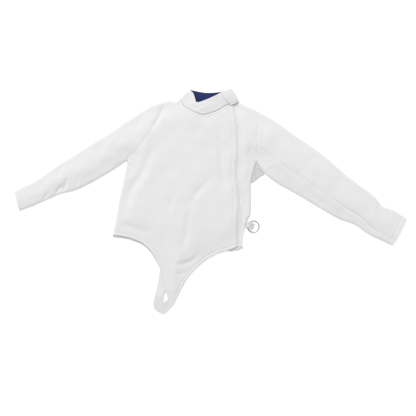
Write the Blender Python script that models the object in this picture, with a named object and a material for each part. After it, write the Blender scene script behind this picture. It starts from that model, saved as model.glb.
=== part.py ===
"""Fencing jacket, laid flat on its back.

The jacket lies on the plane z = 0 with its collar towards +Y. The wearer's right is -X. Every cloth piece is a
wall over a plan outline: the upper layer follows crest, the under layer lies on the plane, and both meet at
EDGE_Z along the rolled edges. Tables are in millimetres and the meshes are in metres.
"""

import math

import bmesh
import bpy
import numpy as np
from mathutils import geometry

MM = 0.001

# Cloth
WALL = 2.0  # two plies of cotton drill
COLLAR_WALL = 3.0  # shell with interlining
LINING_WALL = 1.0
ELASTIC_WALL = 2.2
WEBBING_WALL = 1.2
GAP = 0.3  # between pieces that are sewn together or lie on each other

# How the layers lie
EDGE_Z = 4.0  # height of the seam or fold round the outside
ROLL_UPPER = 12.0  # how far in the upper layer reaches its first height
ROLL_UNDER = 6.0  # how far in the under layer reaches the plane
SHOULDER_Z = 11.0  # upper layer just inside its rolled edges
PUFF = 8.0  # further rise away from the edges
PUFF_REACH = 45.0
HEM_Z = 11.5  # upper layer at the hem
HEM_REACH = 70.0
COLLAR_RISE = 6.0
COLLAR_REACH = 22.0
NECK_LOW_Y = 330.0  # the neck seam lies above this
OVERLAP = 24.0  # width of front_left under the main front
OVERLAP_DROP = 4.6  # how much lower front_left lies there
OVERLAP_FLAT = 12.0  # how far past the overlap's edge it stays that low
OVERLAP_FADE = 26.0

# Steps of the meshes
EDGE_STEPS = (0.0, 1.5, 4.5, 12.0)  # distances in from a rolled edge
EDGE_KEEP = 19.0  # the grid starts this far in from a rolled edge
LINE_STEP = 9.0  # along the lines that heights are measured from
OUTLINE_STEP = 26.0
SHOULDER_STEP = 16.0
TAIL_STEP = 18.0
TAIL_END_STEP = 12.0
GRID_STEP = 27.0
BACK_STEP = 36.0
BACK_GRID_STEP = 80.0
ROW_RATIO = 0.87  # between the rows of a grid of even triangles and its step
CURVE_PARTS = 24  # straights in a smooth curve between two of its points

# Seams and edges, each from one corner to the next: (x, y)
SHOULDER_RIGHT = [(-186, 389), (-160, 394), (-138, 391), (-118, 400)]
ARMHOLE_RIGHT = [(-186, 389), (-190, 353), (-213, 306), (-249, 253), (-289, 203), (-324, 156)]
SIDE_RIGHT = [(-324, 156), (-336, 97), (-355, 10), (-370, -78), (-381, -133)]
HEM_FRONT_RIGHT = [
    (-381, -133), (-350, -136), (-317, -143), (-268, -162), (-236, -190), (-211, -227), (-193, -271),
]
TAIL_FRONT_RIGHT = [(-193, -271), (-184, -315), (-174, -355), (-165, -384)]
TAIL_FRONT_END = [(-165, -384), (-129, -381)]
HEM_FRONT_LEFT = [
    (-129, -381), (-111, -341), (-80, -291), (-30, -241), (20, -209), (76, -190), (106, -178),
]
OVERLAP_EDGE = [
    (106, -178), (106, -110), (108, -51), (112, 4), (106, 58),
    (101, 105), (106, 202), (103, 277), (94, 351), (88, 384),
]
NECK_FRONT = [
    (88, 384), (59, 371), (33, 355), (7, 344), (-28, 336), (-56, 344), (-80, 357), (-102, 371), (-118, 400),
]
NECK_FRONT_LEFT = [(112, 391), (88, 384)]
SHOULDER_LEFT = [(112, 391), (120, 382), (166, 361), (186, 351)]
ARMHOLE_LEFT = [(186, 351), (188, 290), (185, 220), (180, 150)]
SIDE_LEFT = [
    (180, 150), (168, 108), (159, 68), (160, 23), (158, -47), (144, -78), (135, -109), (127, -152), (127, -179),
]
NECK_BACK = [(-118, 400), (-60, 386), (0, 381), (60, 384), (112, 391)]
HEM_BACK_RIGHT = [
    (-381, -133), (-381, -141), (-317, -151), (-268, -170), (-240, -194), (-215, -229), (-197, -266),
]
TAIL_BACK_RIGHT = [(-197, -266), (-203, -306), (-211, -345), (-217, -371)]
TAIL_BACK_END = [(-217, -371), (-180, -374)]
TAIL_BACK_LEFT = [(-180, -374), (-174, -354), (-150, -318)]
HEM_BACK_LEFT = [
    (-150, -318), (-106, -282), (-50, -239), (10, -205), (50, -194), (84, -197), (108, -193), (127, -185), (127, -179),
]

# Collar, from the wearer's right to the left
COLLAR_SIDE_RIGHT = [(-118, 400), (-82, 435)]
COLLAR_SIDE_LEFT = [(112, 391), (83, 441)]
COLLAR_BOW = 3.5
COLLAR_TOP_FRONT = [
    (-82, 435), (-67, 419), (-60, 400), (-52, 383), (-16, 393), (18, 408), (50, 425), (83, 441),
]
COLLAR_TOP_BACK = [(-82, 435), (-44, 427), (-16, 423), (21, 424), (51, 429), (83, 441)]
COLLAR_NECK_WIDTH = 230.0
COLLAR_TOP_WIDTH = 165.0
COLLAR_START = 0.007  # share of its height at which it clears the neck seam
COLLAR_ROWS = 5
COLLAR_TAB_EDGES = [(109, 387), (84, 375), (69, 384), (49, 414), (60, 429), (79, 438)]

COLLAR_TAB_GRID = 16.0
TAB_CLEAR = 1.6  # under the collar tab
LINING_CLEAR = 1.2  # under the front of the collar
LINING_IN = 9.0  # how far in from the collar's folds the lining turns
LINING_FLOOR = 3.4  # height of the lining over the back of the collar
LINING_LOW = 0.06  # shares of the collar's height that the lining covers
LINING_HIGH = 0.98

# Heights of the front tail as it runs down on the back tail to the surface: (y, top of the cloth)
TAIL_HEIGHTS = [(-384, 2.3), (-368, 3.2), (-345, 5.6), (-300, 6.4), (-250, 7.6), (-190, HEM_Z)]

# Sleeves, from the armhole to the cuff: (upper x, upper y, lower x, lower y, share of the width at the front seam)
SLEEVE_RIGHT = [
    (-186, 389, -324, 156, 0.2),
    (-243, 366, -338, 149, 0.2),
    (-305, 327, -358, 134, 0.2),
    (-391, 269, -402, 107, 0.2),
    (-480, 214, -455, 76, 0.2),
    (-570, 156, -523, 43, 0.2),
    (-625, 121, -585, 27, 0.2),
    (-675, 85, -642, 2, 0.2),
    (-720, 62, -698, -22, 0.2),
    (-765, 38, -745, -39, 0.2),
]
SLEEVE_LEFT = [
    (186, 351, 180, 150, 0.33),
    (250, 315, 212, 107, 0.34),
    (324, 262, 262, 68, 0.35),
    (431, 188, 335, 27, 0.34),
    (533, 101, 446, -39, 0.34),
    (590, 58, 505, -72, 0.31),
    (640, 20, 562, -92, 0.27),
    (673, -19, 614, -128, 0.22),
    (711, -32, 662, -152, 0.19),
    (767, -67, 709, -174, 0.18),
]
SLEEVE_ROWS = 14
SLEEVE_BACK_SEAM = 0.6  # share of the width at the seam on the under layer
BOW_ROWS = 3.0  # rows from the armhole over which its curve fades to a straight section

# Largest folds, as troughs in the upper layer: (x0, y0, x1, y1, bow, half width, depth)
FOLDS = [
    (-222, 226, -326, -72, 22, 17, 4.2),
    (20, 262, 60, 36, -10, 15, 3.4),
    (-4, 92, -66, 10, 8, 15, 2.4),
    (-84, -40, -112, -196, 12, 15, 3.0),
    (-138, -252, -44, -200, -14, 13, 2.6),
    (-186, 372, -258, 236, 16, 14, 3.2),
    (-590, 160, -566, 40, 6, 12, 2.6),
    (-516, 128, -522, 54, 4, 11, 2.0),
    (330, 118, 372, 60, 6, 13, 2.2),
    (510, -30, 552, -82, 6, 12, 2.0),
    (688, -24, 700, -90, 4, 10, 2.4),
]

# Crotch elastic, from the back tail round to the front tail: (outer x, outer y, inner x, inner y)
ELASTIC = [
    (-217.2, -371.4, -179.6, -374.4),
    (-221, -388, -181, -385),
    (-222.5, -404, -183, -394),
    (-218, -422, -181, -396),
    (-200, -436, -177, -392),
    (-181, -443, -172, -388),
    (-162, -429, -168, -385.6),
    (-139, -402, -166, -385),
    (-129.4, -381.6, -165.4, -384.4),
]
ELASTIC_STEPS = 15

# Underarm gusset, folded in two: its fold from the side to the sleeve, with the end points of its seams
GUSSET_FOLD = [(162.5, 69.5), (178, 82), (196, 96), (211.5, 104)]
GUSSET_SIDE_Y = 71.0  # how far down the side seam it is sewn
GUSSET_SLEEVE_X = 210.0  # how far along the sleeve's lower edge
GUSSET_SEAM_TOP = 147.0
GUSSET_ROWS = 9
GUSSET_WALL = 1.5
GUSSET_TOP = 4.2

# Zip strip under the overlap
ZIP_WIDTH = 20.0
ZIP_WALL = 1.0
ZIP_CLEAR = 0.7  # below the main front

# Waist tab and ring
TAB_ROOT = (140.3, -92.0)  # on the side seam
TAB_TURN = math.radians(-16.2)  # the way the tab points, from +X
TAB_HALF_WIDTH = 12.0
TAB_PROFILE = [
    (0, 2.2), (0, 5.4), (0.8, 8.6), (2.8, 11.2), (7, 12.5), (13, 12.2), (20, 9.6), (27, 6.0), (30.6, 3.4),
    (31.4, 1.9), (30, 0.3), (27, 0), (10, 0), (3.4, 0), (1, 0.7),
]
RING_RADIUS = 22.5  # to the middle of the wire
RING_WIRE = 2.5  # radius of the wire
RING_PIVOT = (6.2, 4.3)  # along the tab, height
RING_STEPS = 40
WIRE_STEPS = 10

CLOTH = (0.84, 0.845, 0.85, 1.0)
ELASTIC_WHITE = (0.78, 0.785, 0.79, 1.0)
NAVY = (0.023, 0.037, 0.152, 1.0)
NICKEL = (0.56, 0.55, 0.53, 1.0)


# --- plan curves -------------------------------------------------------------------------------------------------


def through(a, b, c, d, t):
    """The point at share t from b to c, on a smooth curve through a, b, c and d."""
    return (2 * b + (c - a) * t + (2 * a - 5 * b + 4 * c - d) * t**2 + (3 * b - a - 3 * c + d) * t**3) / 2


def smooth(points, step=OUTLINE_STEP, count=None):
    """A curve through the points, cut into even lengths of about one step."""
    knots = np.array(points, float)
    if len(knots) > 2:
        ends = np.array([2 * knots[0] - knots[1], 2 * knots[-1] - knots[-2]])
        padded = np.vstack([ends[:1], knots, ends[1:]])
        fine = []
        for a, b, c, d in zip(padded, padded[1:], padded[2:], padded[3:]):
            for t in np.linspace(0, 1, CURVE_PARTS, endpoint=False):
                fine.append(through(a, b, c, d, t))
        knots = np.vstack([fine, knots[-1:]])
    lengths = np.concatenate([[0], np.cumsum(np.linalg.norm(np.diff(knots, axis=0), axis=1))])
    parts = count or max(1, round(lengths[-1] / step))
    at = np.linspace(0, lengths[-1], parts + 1)
    return np.column_stack([np.interp(at, lengths, knots[:, k]) for k in range(2)])


def at_share(points, shares):
    """Points at the given shares of a smooth curve's length."""
    fine = smooth(points, count=200)
    marks = np.linspace(0, 1, len(fine))
    return np.column_stack([np.interp(shares, marks, fine[:, k]) for k in range(2)])


def joined(*curves):
    """Curves end to end, with each shared corner once."""
    points = [curves[0]]
    for curve in curves[1:]:
        points.append(curve[1:] if np.allclose(curve[0], points[-1][-1], atol=0.5) else curve)
    outline = np.vstack(points)
    return outline[:-1] if np.allclose(outline[0], outline[-1], atol=0.5) else outline


def inset(outline, amount):
    """A closed outline moved in by an amount, at every corner."""
    before = outline - np.roll(outline, 1, axis=0)
    after = np.roll(before, -1, axis=0)
    area = 0.5 * np.sum(outline[:, 0] * np.roll(outline[:, 1], -1) - outline[:, 1] * np.roll(outline[:, 0], -1))
    turn = 1.0 if area > 0 else -1.0

    def sideways(edge):
        unit = edge / np.linalg.norm(edge, axis=1)[:, None]
        return turn * np.column_stack([-unit[:, 1], unit[:, 0]])

    left, right = sideways(before), sideways(after)
    middle = left + right
    middle /= np.maximum(np.linalg.norm(middle, axis=1)[:, None], 1e-6)
    cosine = np.maximum(np.sum(middle * left, axis=1), 0.5)
    return outline + middle * (amount / cosine)[:, None]


def nearest(points, line):
    """Distance from each point to a line of short straights, and the way in from the line (to its left)."""
    start, span = line[:-1], np.diff(line, axis=0)
    length = np.linalg.norm(span, axis=1)
    offset = points[:, None, :] - start[None, :, :]
    share = np.clip(np.sum(offset * span, axis=2) / length**2, 0, 1)
    away = offset - share[:, :, None] * span
    distance = np.linalg.norm(away, axis=2)
    best = np.argmin(distance, axis=1)
    rows = np.arange(len(points))
    inward = np.column_stack([-span[best, 1], span[best, 0]]) / length[best][:, None]
    return distance[rows, best], inward


def collar_side(side):
    """The collar's outer edge from the neck seam to its top corner, bowed out a little."""
    (x0, y0), (x1, y1) = side
    share = np.linspace(0, 1, 13)[:, None]
    way = np.array([x1 - x0, y1 - y0], float)
    out = np.array([way[1], -way[0]]) / np.linalg.norm(way) * (1 if x0 > 0 else -1)
    return np.array([x0, y0]) + share * way + out * COLLAR_BOW * 4 * share * (1 - share)


# --- heights -----------------------------------------------------------------------------------------------------


def ease(t):
    t = np.clip(t, 0, 1)
    return t * t * (3 - 2 * t)


def sleeve_edges(table, column):
    return [(row[column], row[column + 1]) for row in table]


# The rolled outside edges, each with the jacket on its left
ROLLED = [
    smooth(SHOULDER_LEFT[::-1], LINE_STEP),
    collar_side(COLLAR_SIDE_LEFT),
    smooth(sleeve_edges(SLEEVE_LEFT, 0)[::-1], LINE_STEP),
    smooth(sleeve_edges(SLEEVE_LEFT, 2), LINE_STEP),
    smooth(SIDE_LEFT[::-1], LINE_STEP),
    smooth(SIDE_RIGHT, LINE_STEP),
    smooth(sleeve_edges(SLEEVE_RIGHT, 2)[::-1], LINE_STEP),
    smooth(sleeve_edges(SLEEVE_RIGHT, 0), LINE_STEP),
    smooth(SHOULDER_RIGHT, LINE_STEP),
    collar_side(COLLAR_SIDE_RIGHT)[::-1],
]
HEMS = [smooth(HEM_FRONT_RIGHT + TAIL_FRONT_RIGHT[1:], LINE_STEP), smooth(HEM_FRONT_LEFT, LINE_STEP)]
NECK_LINE = smooth(NECK_FRONT_LEFT + NECK_FRONT[1:], LINE_STEP)
OVERLAP_LINE = smooth(OVERLAP_EDGE, LINE_STEP)


def neck_rise(points):
    """How much higher the collar lies than the front."""
    distance = nearest(points, NECK_LINE)[0]
    above = points[:, 1] > np.interp(points[:, 0], NECK_LINE[::-1, 0], NECK_LINE[::-1, 1])
    return COLLAR_RISE * np.where(above & (points[:, 1] > NECK_LOW_Y), ease(distance / COLLAR_REACH), 0)


def crest(points):
    """Height of the upper layer before its edges are rolled down."""
    puff = np.ones(len(points))
    for line in ROLLED:
        puff = puff * (1 - np.exp(-((nearest(points, line)[0] / PUFF_REACH) ** 2)))
    height = SHOULDER_Z + PUFF * puff
    hem = np.min([nearest(points, line)[0] for line in HEMS], axis=0)
    low = np.interp(points[:, 1], [y for y, _ in TAIL_HEIGHTS], [z for _, z in TAIL_HEIGHTS])
    height = low + (height - low) * (1 - np.exp(-((hem / HEM_REACH) ** 2)))
    height = height + neck_rise(points)
    for x0, y0, x1, y1, bow, half_width, depth in FOLDS:
        way = np.array([x1 - x0, y1 - y0], float)
        length = np.linalg.norm(way)
        way /= length
        offset = points - (x0, y0)
        along = offset @ way / length
        across = offset @ np.array([-way[1], way[0]]) - bow * 4 * along * (1 - along)
        ends = np.clip(4 * along * (1 - along), 0, 1) ** 0.7
        height = height - depth * ends * np.exp(-((across / half_width) ** 2))
    return height


def under_overlap(points):
    """How much lower front_left lies, under and just past the overlap's edge."""
    edge_x = np.interp(points[:, 1], OVERLAP_LINE[:, 1], OVERLAP_LINE[:, 0])
    return -OVERLAP_DROP * (1 - ease((points[:, 0] - edge_x - OVERLAP_FLAT) / OVERLAP_FADE))


def skin(points, upper, change=None):
    """Outer surface points of one layer, and the way out at each. change(points) is added to its height."""
    points = np.asarray(points, float)
    gaps = [nearest(points, line) for line in ROLLED]
    nearer = np.argmin([g[0] for g in gaps], axis=0)
    rows = np.arange(len(points))
    distance = np.array([g[0] for g in gaps])[nearer, rows]
    inward = np.array([g[1] for g in gaps])[nearer, rows]
    distance = np.maximum(distance - GAP / 2, 0)
    if not upper:
        cosine = np.clip(1 - distance / ROLL_UNDER, 0, 1)
        sine = np.sqrt(1 - cosine**2)
        edge = EDGE_Z - GAP / 2
        z = edge * (1 - sine)
        out = np.column_stack([-(edge * cosine / ROLL_UNDER)[:, None] * inward, -sine])
    else:

        def top(p):
            return crest(p) + (change(p) if change else 0)

        cosine = np.clip(1 - distance / ROLL_UPPER, 0, 1)
        sine = np.sqrt(1 - cosine**2)
        edge = EDGE_Z + GAP / 2
        rise = top(points) - edge
        z = edge + rise * sine
        slope = np.column_stack([top(points + (d, e)) - top(points - (d, e)) for d, e in ((1, 0), (0, 1))]) / 2
        out = np.column_stack(
            [-(sine**2)[:, None] * slope - (rise * cosine / ROLL_UPPER)[:, None] * inward, sine]
        )
    out /= np.linalg.norm(out, axis=1)[:, None]
    return np.column_stack([points, z]), out


# --- meshes ------------------------------------------------------------------------------------------------------


def material(name, colour, roughness, metallic=0.0):
    finish = bpy.data.materials.get(name)
    if finish is None:
        finish = bpy.data.materials.new(name)
        finish.use_nodes = True
        shader = finish.node_tree.nodes["Principled BSDF"]
        shader.inputs["Base Color"].default_value = colour
        shader.inputs["Roughness"].default_value = roughness
        shader.inputs["Metallic"].default_value = metallic
    return finish


def add_object(name, points, faces, finish, place=(0, 0, 0)):
    """One closed mesh, its points in millimetres, as an object at a place in metres."""
    mesh = bpy.data.meshes.new(name)
    mesh.from_pydata([tuple(c * MM for c in p) for p in points], [], [tuple(map(int, f)) for f in faces])
    body = bmesh.new()
    body.from_mesh(mesh)
    bmesh.ops.triangulate(body, faces=body.faces)
    if body.calc_volume(signed=True) < 0:
        bmesh.ops.reverse_faces(body, faces=body.faces)
    body.to_mesh(mesh)
    body.free()
    mesh.materials.append(finish)
    mesh.shade_smooth()
    thing = bpy.data.objects.new(name, mesh)
    thing.location = place
    bpy.context.scene.collection.objects.link(thing)
    return thing


def wall_over_outline(name, outline, finish, layer, rolled, wall=WALL, lift=0.0, change=None, step=GRID_STEP):
    """A wall over a closed plan outline, finer along its rolled edges. lift moves it out along the surface."""
    outline = inset(outline, GAP / 2)
    low, high = outline.min(axis=0), outline.max(axis=0)
    inner = []
    for line in rolled:
        _, inward = nearest(line, line)
        for reach in EDGE_STEPS[1:]:
            inner.append(line + inward * reach)
    rows = np.arange(low[1] + step / 2, high[1], step * ROW_RATIO)
    for k, y in enumerate(rows):
        xs = np.arange(low[0] + (step / 2 if k % 2 else 0), high[0], step)
        inner.append(np.column_stack([xs, np.full(len(xs), y)]))
    inner = np.vstack(inner)
    closed = np.vstack([outline, outline[:1]])
    to_edge = nearest(inner, closed)[0]
    to_roll = np.full(len(inner), np.inf)
    for line in rolled:
        to_roll = np.minimum(to_roll, nearest(inner, line)[0])
    on_step = np.min([abs(to_roll - reach) for reach in EDGE_STEPS[1:]], axis=0) < 0.2
    off_corner = to_edge > np.minimum(to_roll, EDGE_STEPS[-1] / 2) * 0.7
    keep = np.where(on_step, off_corner, (to_edge > step * 0.45) & (to_roll > EDGE_KEEP))
    inner = inner[keep & inside(inner, outline)]
    flat = [tuple(p) for p in np.vstack([outline, inner])]
    ring = list(range(len(outline)))
    points, _, faces, _, _, _ = geometry.delaunay_2d_cdt(flat, [], [ring], 1, 0.01)
    plan = np.array([tuple(p) for p in points])
    outer, out = skin(plan, layer == "upper", change)
    top = outer + out * lift
    under = outer + out * (lift - wall)
    count = len(plan)
    edges = {}
    solid = []
    for face in faces:
        solid.append(tuple(face))
        solid.append(tuple(v + count for v in reversed(face)))
        for a, b in zip(face, list(face[1:]) + [face[0]]):
            edges[a, b] = True
    for a, b in edges:
        if (b, a) not in edges:
            solid.append((b, a, a + count, b + count))
    return add_object(name, np.vstack([top, under]), solid, finish)


def inside(points, outline):
    """Which points lie inside a closed outline."""
    x, y = points[:, 0][:, None], points[:, 1][:, None]
    ax, ay = outline[:, 0][None, :], outline[:, 1][None, :]
    bx, by = np.roll(outline[:, 0], -1)[None, :], np.roll(outline[:, 1], -1)[None, :]
    crosses = (ay > y) != (by > y)
    with np.errstate(divide="ignore", invalid="ignore"):
        at = ax + (y - ay) * (bx - ax) / (by - ay)
    return np.sum(crosses & (x < at), axis=1) % 2 == 1


def wall_over_grid(name, outer, inner, finish, closed=False):
    """A wall between two grids of points, open along the rows' ends, or closed round them."""
    rows, columns = len(outer), len(outer[0])
    points = np.vstack([np.reshape(outer, (-1, 3)), np.reshape(inner, (-1, 3))])
    half = rows * columns
    faces = []
    last = columns if closed else columns - 1
    for r in range(rows - 1):
        for c in range(last):
            n = (c + 1) % columns
            a, b, d, e = r * columns + c, r * columns + n, (r + 1) * columns + n, (r + 1) * columns + c
            faces += [(a, b, d, e), (half + e, half + d, half + b, half + a)]
    for c in range(last):
        n = (c + 1) % columns
        for r, flip in ((0, True), (rows - 1, False)):
            a, b = r * columns + c, r * columns + n
            faces.append((a, b, half + b, half + a) if not flip else (half + a, half + b, b, a))
    if not closed:
        for r in range(rows - 1):
            for c, flip in ((0, False), (columns - 1, True)):
                a, b = r * columns + c, (r + 1) * columns + c
                faces.append((a, b, half + b, half + a) if not flip else (half + a, half + b, b, a))
    return add_object(name, points, faces, finish)


# --- sleeves -----------------------------------------------------------------------------------------------------


def shares_across(start, end, width, count):
    """Shares of a width from start to end, close together at a rolled edge."""
    near = [reach / width for reach in EDGE_STEPS]
    first = near if start == 0 else [start]
    final = [1 - share for share in reversed(near)] if end == 1 else [end]
    middle = [first[-1] + (final[0] - first[-1]) * k / count for k in range(1, count)]
    return first + middle + final


def sleeve_row(table, armhole, position):
    """Plan of one section across a sleeve: its two edges, its seam share, and its bow from a straight line."""
    rows = np.array(table, float)
    place = position * (len(rows) - 1)
    marks = np.arange(len(rows))
    upper = at_row(rows[:, 0:2], place)
    lower = at_row(rows[:, 2:4], place)
    seam = float(np.interp(place, marks, rows[:, 4]))
    fade = max(0.0, 1 - place / BOW_ROWS)

    def plan(shares):
        shares = np.asarray(shares, float)
        straight = lower + shares[:, None] * (upper - lower)
        curve = at_share(armhole, 1 - shares)
        chord = np.array(armhole[-1]) + shares[:, None] * (np.array(armhole[0]) - np.array(armhole[-1]))
        return straight + (curve - chord) * fade

    return plan, seam, float(np.linalg.norm(upper - lower))


def at_row(knots, place):
    """A smooth curve through a table's rows, at a row number that may lie between two."""
    k = int(min(place, len(knots) - 2))
    t = place - k
    a = knots[k - 1] if k else 2 * knots[0] - knots[1]
    b, c = knots[k], knots[k + 1]
    d = knots[k + 2] if k + 2 < len(knots) else 2 * knots[-1] - knots[-2]
    return through(a, b, c, d, t)


def sleeve_piece(name, table, armhole, stretches, finish):
    """A sleeve piece: for each section, stretches(seam, width) gives (layer, shares) in order round the sleeve."""
    outer, inner = [], []
    for r in range(SLEEVE_ROWS + 1):
        position = r / SLEEVE_ROWS
        plan, seam, width = sleeve_row(table, armhole, position)
        start = np.zeros(2)
        if r == 0:
            step_on = sleeve_row(table, armhole, 0.02)[0]([0.5])[0] - plan([0.5])[0]
            start = step_on / np.linalg.norm(step_on) * GAP
        surfaces, outs = [], []
        for layer, shares in stretches(seam, width):
            surface, out = skin(plan(shares) + start, layer == "upper")
            surfaces.append(surface)
            outs.append(out)
        surface, out = np.vstack(surfaces), np.vstack(outs)
        outer.append(surface)
        inner.append(surface - out * WALL)
    return wall_over_grid(name, outer, inner, finish)


def seam_allow(width):
    return GAP / 2 / width


def sleeve_left_top(seam, width):
    small = seam_allow(width)
    return [
        ("upper", shares_across(seam + small, 1, width, 5)),
        ("under", shares_across(SLEEVE_BACK_SEAM + small, 1, width, 2)[::-1][1:]),
    ]


def sleeve_left_under(seam, width):
    return [("under", shares_across(0, SLEEVE_BACK_SEAM - seam_allow(width), width, 3)[::-1])]


def sleeve_left_front(seam, width):
    return [("upper", shares_across(0, seam - seam_allow(width), width, 2))]


def sleeve_right_top(seam, width):
    small = seam_allow(width)
    return [
        ("under", shares_across(0, seam - small, width, 1)[::-1]),
        ("upper", shares_across(0, 1, width, 7)[1:]),
        ("under", shares_across(SLEEVE_BACK_SEAM + small, 1, width, 2)[::-1][1:]),
    ]


def sleeve_right_under(seam, width):
    small = seam_allow(width)
    return [("under", shares_across(seam + small, SLEEVE_BACK_SEAM - small, width, 3)[::-1])]


def armhole_points(table, armhole, stretches, layer):
    """The armhole's plan points on one layer, from the armpit up to the shoulder."""
    plan, seam, width = sleeve_row(table, armhole, 0)
    shares = {0.0, 1.0}
    for piece in stretches:
        for piece_layer, group in piece(seam, width):
            if piece_layer == layer:
                shares.update(round(share, 6) for share in group)
    return plan(sorted(shares))


RIGHT_PIECES = (sleeve_right_top, sleeve_right_under)
LEFT_PIECES = (sleeve_left_top, sleeve_left_under, sleeve_left_front)


# --- collar ------------------------------------------------------------------------------------------------------

COLLAR_NECK = NECK_FRONT[::-1] + NECK_FRONT_LEFT[::-1][1:]


def share_of(points, corner):
    """The share of a smooth curve's length at which it passes a corner."""
    fine = smooth(points, count=400)
    return float(np.argmin(np.linalg.norm(fine - corner, axis=1))) / 400


COLLAR_SLIT = share_of(COLLAR_NECK, NECK_FRONT[0])  # the collar's ends meet over the top of the overlap


def collar_width(height):
    return COLLAR_NECK_WIDTH + (COLLAR_TOP_WIDTH - COLLAR_NECK_WIDTH) * height


def collar_plan(layer, shares, height):
    """Plan points across the collar on one layer, at a share of its height above the neck seam."""
    low, high = (COLLAR_NECK, COLLAR_TOP_FRONT) if layer == "upper" else (NECK_BACK, COLLAR_TOP_BACK)
    shares = np.asarray(shares, float)
    points = at_share(low, shares) * (1 - height) + at_share(high, shares) * height
    for side, weight in ((COLLAR_SIDE_RIGHT, (1 - shares) ** 6), (COLLAR_SIDE_LEFT, shares**6)):
        (x0, y0), (x1, y1) = side
        out = np.array([y1 - y0, x0 - x1]) / math.hypot(x1 - x0, y1 - y0) * (1 if x0 > 0 else -1)
        points = points + weight[:, None] * out * COLLAR_BOW * 4 * height * (1 - height)
    return points


def collar_round(width):
    """The layers and shares from the slit round the back to the slit again."""
    slit = GAP / width
    return [
        ("upper", shares_across(COLLAR_SLIT + slit, 1, width, 1)),
        ("under", shares_across(0, 1, width, 5)[::-1][1:]),
        ("upper", shares_across(0, COLLAR_SLIT, width, 7)[1:]),
    ]


# --- build -------------------------------------------------------------------------------------------------------

for thing in list(bpy.data.objects):
    bpy.data.objects.remove(thing)

shell = material("white_cotton_drill", CLOTH, 0.85)
ribbed = material("white_ribbed_elastic", ELASTIC_WHITE, 0.8)
lining = material("navy_lining", NAVY, 0.8)
webbing = material("white_webbing", ELASTIC_WHITE, 0.75)
tape = material("white_zip_tape", CLOTH, 0.7)
metal = material("nickel_plated_steel", NICKEL, 0.25, 1.0)

shoulder_right, shoulder_left = smooth(SHOULDER_RIGHT, SHOULDER_STEP), smooth(SHOULDER_LEFT, SHOULDER_STEP)
side_right, side_left = smooth(SIDE_RIGHT), smooth(SIDE_LEFT)

# Main front, on top
front_outline = joined(
    side_right,
    smooth(HEM_FRONT_RIGHT),
    smooth(TAIL_FRONT_RIGHT, TAIL_STEP),
    smooth(TAIL_FRONT_END, TAIL_END_STEP),
    smooth(HEM_FRONT_LEFT),
    smooth(OVERLAP_EDGE),
    collar_plan("upper", shares_across(0, COLLAR_SLIT, COLLAR_NECK_WIDTH, 7), 0)[::-1],
    shoulder_right[::-1],
    armhole_points(SLEEVE_RIGHT, ARMHOLE_RIGHT, RIGHT_PIECES, "upper")[::-1],
)
wall_over_outline("front", front_outline, shell, "upper", [side_right, shoulder_right])

# Narrow left front, whose inner edge runs under the main front
overlap_line = smooth(OVERLAP_EDGE)
hidden_edge = overlap_line[1:-1] - (OVERLAP, 0)
left_hem = np.array([(OVERLAP_EDGE[0][0] - OVERLAP, -183), OVERLAP_EDGE[0], SIDE_LEFT[-1]], float)
left_outline = joined(
    left_hem,
    side_left[::-1],
    armhole_points(SLEEVE_LEFT, ARMHOLE_LEFT, LEFT_PIECES, "upper"),
    shoulder_left[::-1],
    collar_plan("upper", shares_across(COLLAR_SLIT, 1, COLLAR_NECK_WIDTH, 1), 0)[::-1],
    np.array([(NECK_FRONT[0][0] - OVERLAP, 371.0)]),
    hidden_edge[::-1],
)
left_rolls = [side_left[::-1], shoulder_left[::-1]]
wall_over_outline("front_left", left_outline, shell, "upper", left_rolls, change=under_overlap)

# Back, flat on the surface
back_outline = joined(
    side_right,
    smooth(HEM_BACK_RIGHT[1:], BACK_STEP),
    smooth(TAIL_BACK_RIGHT, BACK_STEP),
    smooth(TAIL_BACK_END, BACK_STEP),
    smooth(TAIL_BACK_LEFT, BACK_STEP),
    smooth(HEM_BACK_LEFT, BACK_STEP),
    side_left[::-1],
    armhole_points(SLEEVE_LEFT, ARMHOLE_LEFT, LEFT_PIECES, "under"),
    shoulder_left[::-1],
    collar_plan("under", shares_across(0, 1, COLLAR_NECK_WIDTH, 5), 0)[::-1],
    shoulder_right[::-1],
    armhole_points(SLEEVE_RIGHT, ARMHOLE_RIGHT, RIGHT_PIECES, "under")[::-1],
)
back_rolls = [side_right, shoulder_right, side_left[::-1], shoulder_left[::-1]]
wall_over_outline("back", back_outline, shell, "under", back_rolls, step=BACK_GRID_STEP)

# Sleeves
sleeve_piece("sleeve_right_top", SLEEVE_RIGHT, ARMHOLE_RIGHT, sleeve_right_top, shell)
sleeve_piece("sleeve_right_under", SLEEVE_RIGHT, ARMHOLE_RIGHT, sleeve_right_under, shell)
sleeve_piece("sleeve_left_top", SLEEVE_LEFT, ARMHOLE_LEFT, sleeve_left_top, shell)
sleeve_piece("sleeve_left_under", SLEEVE_LEFT, ARMHOLE_LEFT, sleeve_left_under, shell)
sleeve_piece("sleeve_left_front", SLEEVE_LEFT, ARMHOLE_LEFT, sleeve_left_front, shell)

# Zip strip, between the overlap and front_left
zip_line = overlap_line[1:-1] - (OVERLAP / 2, 0)
zip_rows = []
for side in (-ZIP_WIDTH / 2, 0, ZIP_WIDTH / 2):
    surface, out = skin(zip_line + (side, 0), True)
    zip_rows.append((surface, out))
zip_top = [surface - out * (WALL + ZIP_CLEAR) for surface, out in zip_rows]
zip_under = [surface - out * (WALL + ZIP_CLEAR + ZIP_WALL) for surface, out in zip_rows]
wall_over_grid("zip", zip_top, zip_under, tape)

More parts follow.
